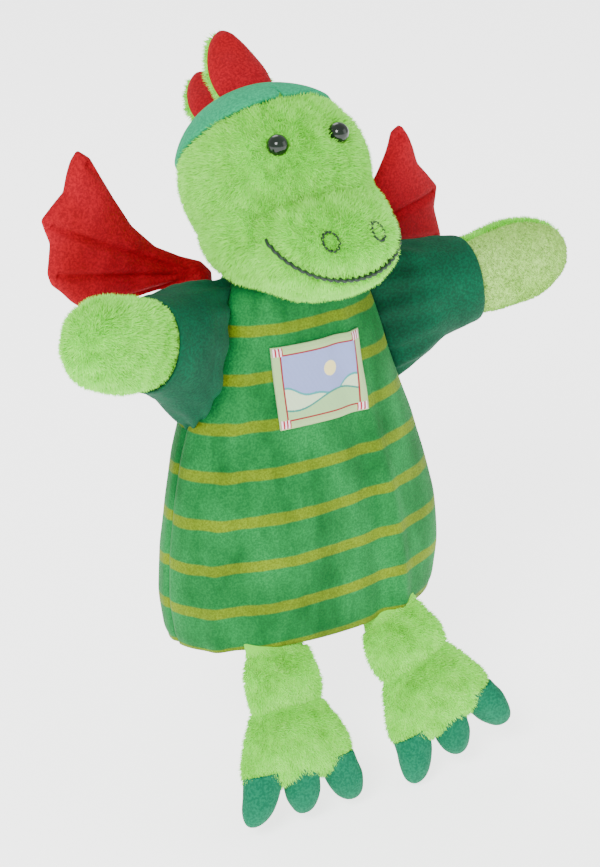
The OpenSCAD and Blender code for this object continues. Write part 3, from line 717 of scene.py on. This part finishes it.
def stuffed_cut(low, high, front, behind, seed, columns=40):
    """A pad ruled between two edges: at share s across, thickness grows as
    (1 - |2s - 1|^2.4)^0.6. Gives front and back grids of (u, v, w)."""
    share = (1 - np.cos(np.linspace(0, np.pi, columns))) / 2
    flat = low[:, None] * (1 - share[None, :, None]) + high[:, None] * share[None, :, None]
    puff = (1 - np.abs(2 * share - 1) ** 2.4)[None] ** 0.6
    width = np.linalg.norm(high - low, axis=1)[:, None]
    puff = puff * np.clip(width / (14 * MM), 0, 1) ** 0.6
    lump = ripple(np.dstack([flat, 0 * flat[..., :1]]), 24 * MM, seed, 2) * puff
    top = np.dstack([flat, np.maximum(front * (puff + 0.14 * lump), 0)])
    bottom = np.dstack([flat, -np.maximum(behind * (puff - 0.14 * lump), 0)])
    return top, bottom


def ring_of(top, bottom):
    """Front and back grids as one ring: across the front, then back across the rear."""
    return np.concatenate([top, bottom[:, -2:0:-1]], axis=1)


print("stuffed cut ready")

# %% [markdown]
# ## The wings
# Each wing is two scalloped cuts of red velour, sewn at the edge and thinly filled. Lines of
# quilting run from the root to the points and keep the filling in place, like a bat's
# fingers. The wing stands out from the back, so it rides on its own body.

# %% Wings
WING_LOW = np.array([[0.01, -0.58], [0.08, -0.2], [0.09, 0.0], [0.2, 0.01], [0.35, 0.02], [0.55, 0],
        [0.72, 0.02], [0.83, 0.05], [0.88, 0.10], [0.93, 0.17],
                     [0.985, 0.23], [1, 0.30], [0.98, 0.40], [0.965, 0.48], [0.985, 0.56], [1, 0.63],
                     [0.92, 0.71], [0.86, 0.76], [0.83, 0.86], [0.80, 0.94], [0.765, 0.99]])
WING_HIGH = np.array([[0, -0.57], [0, -0.2], [0, 0.06], [0.06, 0.14], [0.18, 0.20], [0.33, 0.30],
        [0.47, 0.47], [0.57, 0.67], [0.64, 0.83], [0.69, 0.95], [0.745, 1]])
WING_FINGERS = [(1, 0.30), (1, 0.62), (0.76, 0.98), (0.72, 0.02)]
WING_DROOP, WING_SWEEP = {"left": np.radians(18), "right": 0.0}, {"left": np.radians(8), "right": 0.0}
lo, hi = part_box("wing_right_front")
root_x = -hi[0]
WING_SIZE = np.array([hi[0] - lo[0], (hi[2] - lo[2]) / 1.58])
for s, side in ((1, "left"), (-1, "right")):
    root = np.array(JOINTS["wing_" + side + "_fold"]["pos_m"])
    top, bottom = stuffed_cut(chain(WING_LOW * WING_SIZE, 260), chain(WING_HIGH * WING_SIZE, 260), 4.6 * MM,
            4.6 * MM, 41 + s)
    pad = ring_of(top, bottom)
    u, v, w = pad[..., 0], pad[..., 1], pad[..., 2]
    for tip in WING_FINGERS:
        end = np.array(tip) * WING_SIZE
        start = np.array([0.10, 0.06]) * WING_SIZE
        d = (end - start) / np.linalg.norm(end - start)
        along = (u - start[0]) * d[0] + (v - start[1]) * d[1]
        off = np.abs((u - start[0]) * d[1] - (v - start[1]) * d[0])
        w = w * (1 - 0.55 * np.exp(-(off / (1.5 * MM)) ** 2) * np.clip(along / (15 * MM), 0, 1)
                * (along < 0.95 * np.linalg.norm(end - start)))
    share = np.clip(u / WING_SIZE[0], 0, 1)
    y = root[1] - w - 5 * MM * share ** 2 + 2.2 * MM * np.sin(u / WING_SIZE[0] * 5 + v / WING_SIZE[1]
            * 3) * share
    sweep, behind = WING_SWEEP[side], y - root[1]
    x, y = u * np.cos(sweep) - behind * np.sin(sweep), root[1] + u * np.sin(sweep) + behind * np.cos(sweep)
    wing = surface("wing_" + side, np.stack([s * (root_x + x), y,
            root[2] + v - np.tan(WING_DROOP[side]) * u], axis=-1), RED_VELOUR)
    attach(wing, "wing_" + side)
    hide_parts("wing_" + side + "_front", "wing_" + side + "_back")
    print("wing", side, [round(c, 4) for c in wing.dimensions])

# %% [markdown]
# ## The crest
# Two pointed petals stand on the hood's middle, one behind the other. The front of each is red
# velour and the back is lime plush, so each is made as two half pads that share a seam.

# %% Crest petals
PETAL_WIDTH, PETAL_LENGTH = 28 * MM, 36 * MM
PETAL_BOW = 7.0


def petal(name, elevation, lean, seed):
    """Both half pads of one petal: half width times the root of 1 - k squared, with a small
    belly, standing on the hood and leaning back."""
    d = toward(np.pi / 2, np.radians(elevation))
    root = HEAD_MID + head_reach(d) * d
    lean = np.radians(lean)
    across, rise, out = np.array([1, 0, 0]), np.array([0, np.sin(lean), np.cos(lean)]), np.array([0,
            -np.cos(lean), np.sin(lean)])
    k = np.concatenate([np.linspace(-0.22, 0, 12, endpoint=False),
            1 - (1 - np.linspace(0, 0.999, 70)) ** 1.4])
    half = PETAL_WIDTH / 2 * np.sqrt(1 - np.clip(k, 0, 1) ** 2) * (1 + 0.15
            * np.sin(np.pi * np.clip(k, 0, 1)))
    edge = np.stack([half, PETAL_LENGTH * np.sign(k) * np.abs(k) ** 1.15], axis=1)
    cut = stuffed_cut(edge * [-1, 1], edge, 6.5 * MM, 6 * MM, seed)
    grids = []
    for face_name, pad, gap, material, tuft in (("_front", cut[0], 0.2 * MM, RED_VELOUR, None),
            ("_back", cut[1], -0.2 * MM, LIME_PLUSH, 0.2)):
        flat = root + pad[..., :1] * across + pad[..., 1:2] * rise
        bow = PETAL_BOW * pad[..., :1] ** 2
        world = flat + (pad[..., 2:] + gap - bow) * out
        piece = surface(name + face_name, ring_of(world, flat + (gap / 2 - bow) * out), material, tuft=tuft)
        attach(piece, "head")
        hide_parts(name + face_name)
        grids.append(world)
    return grids


crest_backs = [petal(name, elevation, lean, seed)[1] for name, elevation, lean,
        seed in (("crest_one", 62, 50, 51), ("crest_two", 33, 68, 52))]
crest_pile = pile("crest_pile", [(g, False) for g in crest_backs], LIME_PLUSH, 3800, 3.6 * MM, 61,
        comb=(0, 0.5, -0.5), lean=0.3)
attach(crest_pile, "head")

# %% [markdown]
# ## Sleeves and mitts
# A sleeve is a short wide tube of velour, gathered into the armhole and narrowed to the cuff. Its root is
# blended from a ring on the tunic's side into the line of the arm, and it stays fixed in place on no body.
# The mitt is a stuffed rounded end with long pile; the left mitt's palm is pale flat velour with short
# pile.

# %% Arm frames
def arm_frame(side):
    """Pivot and the three directions of an arm at rest: along it, to its front and up across it."""
    pivot = np.array(JOINTS["arm_" + side + "_swing"]["pos_m"])
    lift_axis = np.array(JOINTS["arm_" + side + "_raise"]["axis"])
    ahead = np.array([-lift_axis[1], lift_axis[0], 0.0])
    lift = np.radians(6 if side == "left" else 19)
    level = ahead / np.linalg.norm(ahead)
    along = level * np.cos(lift) + np.array([0, 0, 1]) * np.sin(lift)
    upward = np.array([0, 0, 1]) * np.cos(lift) - level * np.sin(lift)
    return pivot, along, np.cross(along, upward), upward


def arm_tube(side, stations, angle, exponent=2.2):
    """A superellipse tube along the arm: each station is distance, half height up,
    half height down, half depth."""
    pivot, along, front, upward = arm_frame(side)
    at, high, low_, deep = (np.asarray(stations)[:, k, None] * MM for k in range(4))
    c, sn = np.cos(angle), np.sin(angle)
    tall = np.where(sn > 0, high, low_)
    y = deep * np.sign(c) * np.abs(c) ** (2 / exponent)
    z = tall * np.sign(sn) * np.abs(sn) ** (2 / exponent)
    return pivot + at[..., None] * along + y[..., None] * front + z[..., None] * upward


print("arm frames ready")

# %% Sleeves
ARMHOLE_LEVEL, ARMHOLE_HALF = 141 * MM, 36 * MM
SLEEVE_KEYS = [(2, 31, 35, 17), (8, 32, 35, 20), (16, 31, 33, 21.5), (26, 29, 30, 22), (41, 25, 26, 21.5),
               (52.5, 22.2, 22.8, 20.2), (57.2, 21.6, 22, 19.4), (59.3, 21, 21.4, 18.4),
               (58.6, 19.5, 20, 17), (54.5, 18.5, 19, 16)]


def armhole(s, angle, front):
    """A ring on the tunic's side: an ellipse in height and depth, with x solved from the
    superellipse of that level and sunk 3 mm."""
    z = HEM_Z + ARMHOLE_LEVEL + ARMHOLE_HALF * np.sin(angle)
    y = 2 * MM + 8 * MM * np.cos(angle) * np.sign(front[1])
    t = (z - HEM_Z) / HEIGHT
    a, b = HALF_W * smooth_profile(t, WIDTHS), HALF_D * smooth_profile(t, DEPTHS)
    x = a * (1 - np.clip(np.abs(y / b), 0, 0.98) ** TUNIC_POWER) ** (1 / TUNIC_POWER) - 3 * MM
    return np.stack([s * x, y, z], axis=-1)


def key_rows(keys, per=9):
    """Rows between given stations, so a turned-in edge may run back along the arm."""
    keys = np.asarray(keys, float)
    t = np.linspace(0, len(keys) - 1, per * (len(keys) - 1) + 1)
    table = np.stack([np.interp(t, np.arange(len(keys)), keys[:, k]) for k in range(keys.shape[1])], axis=1)
    for _ in range(per):
        table[1:-1] = (table[:-2] + 2 * table[1:-1] + table[2:]) / 4
    return table


for s, side in ((1, "left"), (-1, "right")):
    rows = key_rows(SLEEVE_KEYS)
    angle = np.linspace(0, TAU, 150, endpoint=False)[None, :]
    grid = arm_tube(side, rows, angle + 0 * rows[:, :1])
    pivot, along, front, upward = arm_frame(side)
    share = np.clip((np.maximum.accumulate(rows[:, 0]) - 2) / 28, 0, 1)[:, None, None]
    share = share * share * (3 - 2 * share)
    grid = armhole(s, angle, front) * (1 - share) + grid * share
    middle = pivot + rows[:, :1] * MM * along
    radial = grid - middle[:, None]
    radial /= np.linalg.norm(radial, axis=2, keepdims=True)
    near_root = np.clip(1 - (rows[:, :1] - 4) / 34, 0, 1)
    gathers = 1.5 * np.sin(13 * angle + 0.6 * np.sin(3 * angle)) * near_root
    crease = 1.8 * np.sin(rows[:, :1] / 7.5 + 2.2 * np.sin(angle + 0.5)) * np.clip(-np.sin(angle), 0,
            1) * np.exp(-((rows[:, :1] - 30) / 20) ** 2)
    lump = ripple(grid, 42 * MM, 71 + s, 3) * 1.6
    grid = grid + ((gathers + crease + lump * np.clip((60 - rows[:, :1]) / 10, 0, 1))
            * np.minimum(6 * share[..., 0], 1) * MM)[..., None] * radial
    sleeve = surface("sleeve_" + side + "_velour", grid, SLEEVE_VELOUR)
    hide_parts("sleeve_" + side, "gusset_" + side)
    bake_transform(sleeve)
    print("sleeve", side, [round(v, 4) for v in sleeve.dimensions])

# %% Mitts
MITT_ROOT, MITT_LENGTH = 52, 63.3


def mitt_rows(count=60):
    """Distance, half height and half depth of the mitt: a blunt rounded end, wider than the cuff."""
    k = np.linspace(0, 1, count)
    at = MITT_ROOT + MITT_LENGTH * (1 - (1 - k) ** 1.35)
    share = (at - MITT_ROOT) / MITT_LENGTH
    round_end = np.sqrt(np.clip(1 - np.clip((share - 0.42) / 0.58, 0, 1) ** 2.5, 0.0004, 1))
    tall = (17.5 + 3.2 * np.sin(np.clip(share * 1.5, 0, 1) * np.pi / 2)) * round_end
    deep = (14.8 + 2.2 * np.sin(np.clip(share * 1.5, 0, 1) * np.pi / 2)) * round_end
    return np.stack([at, tall, tall, deep], axis=1)


for s, side in ((1, "left"), (-1, "right")):
    rows = mitt_rows()
    for part, start in (("palm", -np.pi / 2), ("back", np.pi / 2)):
        angle = np.linspace(start, start + np.pi, 90)[None, :] + 0 * rows[:, :1]
        grid = arm_tube(side, rows, angle)
        middle = arm_frame(side)[0] + rows[:, :1] * MM * arm_frame(side)[1]
        radial = grid - middle[:, None]
        reach = np.linalg.norm(radial, axis=2, keepdims=True)
        radial /= np.maximum(reach, 1e-9)
        seam = -1.0 * np.exp(-(np.minimum(np.abs(angle - start),
                np.abs(angle - start - np.pi)) / 0.06) ** 2)
        lump = ripple(grid, 34 * MM, 81 + s, 2) * 0.9 + seam
        outer = grid + (lump * MM * np.clip(reach[..., 0] / (8 * MM), 0, 1))[..., None] * radial
        inner = outer - radial * np.minimum(3 * MM, 0.8 * reach)
        pale = side == "left" and part == "palm"
        piece = shell("mitt_" + side + "_" + part + "_cloth", outer, inner,
                PALE_VELOUR if pale else LIME_PLUSH, 0.2)
        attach(piece, "arm_" + side)
        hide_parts("mitt_" + side + "_" + part)
        comb = -arm_frame(side)[1] * 0.4 + np.array([0, 0, -0.5])
        tufts = pile("mitt_" + side + "_" + part + "_pile", [(outer, False)],
                PALE_VELOUR if pale else LIME_PLUSH, 9000 if pale else 9500,
                     1.4 * MM if pale else 3.0 * MM, 91 + s, comb=comb, lean=0.5)
        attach(tufts, "arm_" + side)
print("mitts done")

# %% [markdown]
# ## Legs, feet and toes
# The legs are plush, sewn flat into the hem and lightly filled. On the puppet a line of stitches across
# each ankle lets the foot flop; here the pile is left off along that line. Each foot has a velour sole and
# three stuffed velour toes, which ride on the foot. One plush skin runs over the ankle and stays fixed in
# place on no body.

# %% Legs
ANKLE_AT, TOE_ROOT, TOE_LENGTH, TOE_PITCH, TOE_SPLAY = 24, 53, 25, 20, np.radians(17)
TOE_CURL = 0.0054
LEG_KEYS = [(-2, 17, 2.4, 2.4), (2, 18, 4.6, 4.4), (9, 19.5, 9, 7.6), (17, 20.3, 9.5, 7.5),
        (21.5, 19.6, 7.6, 6), (24, 19.2, 6.2, 5), (26.5, 19.9, 8, 5.4),
            (34, 23.5, 12.5, 6), (43, 27.6, 13.5, 6), (50, 29.6, 12.5, 5.5), (56, 29, 10.5, 5),
            (59.5, 26, 7, 4), (61, 20, 3, 2)]


def leg_frame(side):
    """Hip, the leg's own sideways, forward and down directions at rest."""
    hip = np.array(JOINTS["hip_" + side + "_swing"]["pos_m"])
    ankle = np.array(JOINTS["ankle_" + side + "_flex"]["pos_m"])
    across = np.array(JOINTS["ankle_" + side + "_flex"]["axis"])
    down = (ankle - hip) / np.linalg.norm(ankle - hip)
    return hip, across, np.cross(across, down) * -1, down


def leg_tube(side, rows, angle, exponent=2.3):
    """Superellipse tube down the leg: each row is distance, half width,
    depth to the front and to the back."""
    hip, across, back_way, down = leg_frame(side)
    at, wide, front, behind = (rows[:, k, None] * MM for k in range(4))
    c, sn = np.cos(angle), np.sin(angle)
    deep = np.where(sn > 0, front, behind)
    x = wide * np.sign(c) * np.abs(c) ** (2 / exponent)
    y = deep * np.sign(sn) * np.abs(sn) ** (2 / exponent)
    return hip + x[..., None] * across + y[..., None] * back_way + at[..., None] * down


for s, side in ((1, "left"), (-1, "right")):
    hip, across, out_way, down = leg_frame(side)
    rows = key_rows(LEG_KEYS, 8)
    angle = np.linspace(0, TAU, 120, endpoint=False)[None, :] + 0 * rows[:, :1]
    grid = leg_tube(side, rows, angle)
    lump = ripple(grid, 30 * MM, 101 + s, 2) * 0.9 * MM
    radial = grid - (hip + rows[:, :1] * MM * down)[:, None]
    radial /= np.linalg.norm(radial, axis=2, keepdims=True)
    grid = grid + lump[..., None] * radial
    start, stop = (hip + (ANKLE_AT - 4) * MM * down).tolist(), (hip + (ANKLE_AT + 4) * MM * down).tolist()
    leg = surface("leg_" + side + "_plush", grid, LIME_PLUSH, tuft=0.2)
    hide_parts("shank_" + side, "foot_" + side)
    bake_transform(leg)

    def off_stitches(root, hip=hip, down=down):
        return np.abs((root - hip) @ down - ANKLE_AT * MM) > 0.9 * MM

    tufts = pile("leg_" + side + "_pile", [(grid, True)], LIME_PLUSH, 21000, 2.8 * MM, 111 + s, comb=down,
            lean=0.8, keep=off_stitches)
    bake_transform(tufts)
    k = np.linspace(0, 1, 14)[:, None]
    top = hip + np.array([0, 6 * MM, 11 * MM])
    path = top * (1 - k) ** 2 + 2 * k * (1 - k) * (hip + np.array([0, 3 * MM, 2 * MM])) + k ** 2 * (hip + 6
            * MM * down)
    ring = np.linspace(0, TAU, 60, endpoint=False)[None, :, None]
    hem_piece = path[:, None] + 15.5 * MM * np.cos(ring) * across + (2 + 3
            * k[:, None]) * MM * np.sin(ring) * out_way
    root_piece = surface("hip_" + side + "_plush", hem_piece, LIME_PLUSH, tuft=0.2)
    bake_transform(root_piece)
    root_tufts = pile("hip_" + side + "_pile", [(hem_piece[5:], True)], LIME_PLUSH, 2600, 2.6 * MM, 131 + s,
            comb=down, lean=1.1)
    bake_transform(root_tufts)
    toe_names = ["toe_" + side + "_" + part for part in ("inner", "middle", "outer")]
    for k, toe_name in zip((-s, 0, s), toe_names):
        share = np.linspace(0, 1, 40)
        at = TOE_ROOT + TOE_LENGTH * share
        body = np.sqrt(np.clip(1 - np.clip((share - 0.1) / 0.9, 0, 1) ** 2.9, 0.0005, 1))
        toe_rows = np.stack([at, 9.8 * body, 8.4 * body, 7.2 * body], axis=1)
        ring = np.linspace(0, TAU, 48, endpoint=False)[None, :] + 0 * toe_rows[:, :1]
        toe = leg_tube(side, toe_rows, ring, 2.0)
        toe = toe + (k * (TOE_PITCH + np.sin(TOE_SPLAY) * (at - TOE_ROOT)) * MM)[:, None,
                None] * across + 2.2 * MM * out_way
        toe = toe - (TOE_CURL * (at - TOE_ROOT) ** 2 * MM)[:, None, None] * out_way
        crease = ripple(toe, 16 * MM, 121 + k, 2) * 0.5 * MM
        hub = toe.mean(axis=1, keepdims=True)
        spoke = toe - hub
        spoke /= np.maximum(np.linalg.norm(spoke, axis=2, keepdims=True), 1e-9)
        toe = toe + crease[..., None] * spoke
        piece = surface(toe_name + "_velour", toe, TOE_VELOUR)
        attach(piece, "foot_" + side)
        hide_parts(toe_name)
    sole_keys = [(27, 15, 2.2, 2.2), (34, 20.5, 2.6, 2.6), (45, 25, 2.8, 2.8), (54, 26.5, 2.6, 2.6),
            (60, 24, 2.0, 2.0), (62, 19, 0.8, 0.8)]
    sole_rows = key_rows(sole_keys, 6)
    sole_grid = leg_tube(side, sole_rows,
            np.linspace(0, TAU, 90, endpoint=False)[None, :] + 0 * sole_rows[:, :1]) - 5.4 * MM * out_way
    sole = surface("sole_" + side + "_velour", sole_grid, SOLE_VELOUR)
    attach(sole, "foot_" + side)
    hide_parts("sole_" + side)
    print("leg", side, [round(v, 4) for v in leg.dimensions])

# %% [markdown]
# ## The woven label on the chest
# The patch is a jacquard label: coloured threads woven into a small picture. Here it is a plain
# landscape with a sun, in a sage border with a thin red frame and striped corners. The picture
# is worked out for every point of a fine grid and stored as a colour attribute on the cloth.

# %% Woven label
label_lo, label_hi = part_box("chest_patch")
wide, tall = label_hi[0] - label_lo[0], label_hi[2] - label_lo[2]
v, u = np.meshgrid(np.linspace(0, 1, 200), np.linspace(0, 1, 232), indexing="ij")
x, z = label_lo[0] + u * wide, label_lo[2] + v * tall
t = (z - HEM_Z) / HEIGHT
c = x / (HALF_W * smooth_profile(t, WIDTHS))
front_angle = TAU - np.arccos(np.sign(c) * np.abs(c) ** (TUNIC_POWER / 2))
label = tunic_points(t, front_angle)
puffed = 1.0 * MM + 0.5 * MM * np.clip(np.minimum(np.minimum(u, 1 - u), np.minimum(v, 1 - v)) / 0.05, 0, 1)
outer = label - np.array([0, 1, 0]) * puffed[..., None]
inner = label - np.array([0, 0.2 * MM, 0])
picture = np.empty(u.shape + (3,))
mm_x, mm_y = u * wide / MM, v * tall / MM
edge = np.minimum(np.minimum(mm_x, wide / MM - mm_x), np.minimum(mm_y, tall / MM - mm_y))


def paint(where, hex_colour):
    """Sets the picture's threads to one colour where the mask is true."""
    picture[where] = linear(hex_colour)[:3]


far_hill = 15.5 + 2.6 * np.sin(mm_x / 6.2 + 0.6) + 1.2 * np.sin(mm_x / 2.9)
near_hill = 11.0 + 3.0 * np.sin(mm_x / 7.5 + 3.4)
paint(edge >= 0, "#a2c080")
paint(edge > 4.4, "#8c98cc")
inside = edge > 4.4
paint(inside & (np.hypot(mm_x - 29.5, mm_y - 24.5) < 3.6), "#f0e29a")
paint(inside & (np.abs(mm_y - far_hill) < 0.55), "#3c9696")
paint(inside & (mm_y < far_hill - 0.5), "#c6dcb4")
paint(inside & (np.abs(mm_y - near_hill) < 0.5), "#2c8478")
paint(inside & (mm_y < near_hill - 0.4), "#9cc486")
paint((edge > 3.7) & (edge <= 4.4), "#8c1428")
corner = (np.minimum(mm_x, wide / MM - mm_x) < 5.6) & (np.minimum(mm_y, tall / MM - mm_y) < 4.4)
paint(corner, "#f0dce6")
paint(corner & (np.minimum(mm_x, wide / MM - mm_x) % 1.6 < 0.8), "#a01428")
paint(edge < 0.5, "#9ab87c")
woven, tree, bsdf = new_material("woven label", Roughness=0.75, Sheen_Weight=0.15, Specular_IOR_Level=0.2)
threads = add(tree, "Attribute", {"attribute_name": "threads"})
space = add(tree, "TexCoord")
rib = add(tree, "TexWave", {"wave_type": "BANDS", "bands_direction": "Z"}, Vector=(space, "Object"),
        Scale=1.0 / (0.55 * MM) / TAU * 2, Distortion=0.4)
weft = add(tree, "MapRange", Value=(rib, 1), To_Min=0.8, To_Max=1.0)
shaded = mix(tree, 1.0, (threads, 0), (weft, 0), "MULTIPLY")
tree.links.new(shaded.outputs[2], bsdf.inputs["Base Color"])
grain_bump(tree, bsdf, (rib, 1), 0.4, 0.3 * MM)
patch = shell("woven_label", outer, inner, woven)
colours = np.concatenate([picture, picture[:, ::-1]], axis=1).reshape(-1, 3)
patch.data.attributes.new("threads", "FLOAT_COLOR", "POINT").data.foreach_set("color",
        np.column_stack([colours, np.ones(len(colours))]).ravel())
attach(patch, "tunic")
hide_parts("chest_patch")
print("label", round(wide, 4), round(tall, 4))

# %% [markdown]
# ## Neck and hem
# Under the head the velour is gathered to a round neck and bound. Inside the hem a cotton facing
# is turned up, which shows from below, and the finger tube is sewn into the head's filling.

# %% Neck and hem pieces
a = np.linspace(0, TAU, 144, endpoint=False)[None, :]
k = np.linspace(0, 1, 30)[:, None]
pleat = 0.6 * MM * np.sin(24 * a)
collar_r = (21.5 + 1.9 * np.sin(np.pi * k * 0.9)) * MM + pleat
collar = np.stack([collar_r * np.cos(a), collar_r * np.sin(a), NECK_Z - 1 * MM + 4.5 * MM * k + 0 * a],
        axis=-1)
inner_collar = collar * np.array([0.93, 0.93, 1])
binding = surface("neck_binding_velour", np.concatenate([collar, inner_collar[::-1], collar[:1]]),
        SLEEVE_VELOUR, cap=False)
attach(binding, "tunic")
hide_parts("neck_binding")
gather_z = (18 * k - 11.7) * MM
gather_r = np.sqrt((18.3 * MM) ** 2 - gather_z ** 2) + 0.3 * MM * np.sin(18 * a)
gather = np.stack([gather_r * np.cos(a), NECK[1] + gather_r * np.sin(a), UP_NECK + gather_z + 0 * a],
        axis=-1)
hollow = np.stack([13 * MM * np.cos(a) + 0 * k, NECK[1] + 13 * MM * np.sin(a) + 0 * k, gather[..., 2]],
        axis=-1)
throat = surface("throat_gathers", np.concatenate([gather, hollow[::-1], gather[:1]]), SLEEVE_VELOUR,
        cap=False)
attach(throat, "neck")
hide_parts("throat")
t, angle = np.meshgrid(np.linspace(0.004, 0.1, 24), np.linspace(0, TAU, 240, endpoint=False), indexing="ij")
facing_out, facing_in = tunic_points(t, angle, 2.2 * MM), tunic_points(t, angle, 3.4 * MM)
facing_band = surface("hem_facing_cotton", np.concatenate([facing_out, facing_in[::-1], facing_out[:1]]),
        LINING, cap=False)
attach(facing_band, "tunic")
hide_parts("hem_facing")
wadding = new_material("polyester wadding", Base_Color=linear("#e4e4de"), Roughness=0.95)
space = add(wadding[1], "TexCoord")
fluff = nap(wadding[1], space, 300.0)
pale = mix(wadding[1], (fluff, 0), linear("#d8d8d0"), linear("#f4f4f0"))
wadding[1].links.new(pale.outputs[2], wadding[2].inputs["Base Color"])
for node, material in (("head_filling", wadding[0]), ("finger_tube", LINING)):
    frame["nodes"][node].data.materials.clear()
    frame["nodes"][node].data.materials.append(material)
print("neck and hem done")

# %% [markdown]
# ## Floor and light
# The floor is plain and pale, and so is the air around, so that the cloth's own colours
# carry the picture. One large key light comes from the front and the left, a weaker one
# fills the other side, and one from above and behind gives the pile its bright edge.

# %% Floor and lights
low_z = min(CAD_BOX[0][2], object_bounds()[0][2])
paper, tree, bsdf = new_material("white paper floor", Base_Color=linear("#fbfbfb"), Roughness=0.9,
        Emission_Color=linear("#ffffff"), Emission_Strength=2.2)
floor = surface("floor", np.array([[[-3, -3, low_z - 2 * MM], [3, -3, low_z - 2 * MM]],
        [[-3, 3, low_z - 2 * MM], [3, 3, low_z - 2 * MM]]]), paper, wrap=False, cap=False)


def soft_light(name, place, size, power):
    """An area light that looks at the puppet's middle."""
    light = bpy.data.objects.new(name, bpy.data.lights.new(name, "AREA"))
    light.data.size = size
    light.data.energy = power
    z_axis = np.array(place) - AIM
    z_axis /= np.linalg.norm(z_axis)
    x_axis = np.cross([0, 0, 1], z_axis)
    x_axis /= np.linalg.norm(x_axis)
    axes = np.column_stack([x_axis, np.cross(z_axis, x_axis), z_axis, place])
    light.matrix_world = Matrix(np.vstack([axes, [0, 0, 0, 1]]).tolist())
    bpy.context.collection.objects.link(light)
    return light


lights = [soft_light("key", (-1.2, -1.1, 1.3), 0.7, 44), soft_light("fill", (1.4, -1.2, 0.7), 1.2, 9),
        soft_light("rim", (0.3, 1.2, 1.5), 0.9, 12)]
world = bpy.data.worlds.new("white room")
world.use_nodes = True
world.node_tree.nodes["Background"].inputs["Color"].default_value = (1, 1, 1, 1)
world.node_tree.nodes["Background"].inputs["Strength"].default_value = 1.0
bpy.context.scene.world = world
print("lights", [light.name for light in lights])
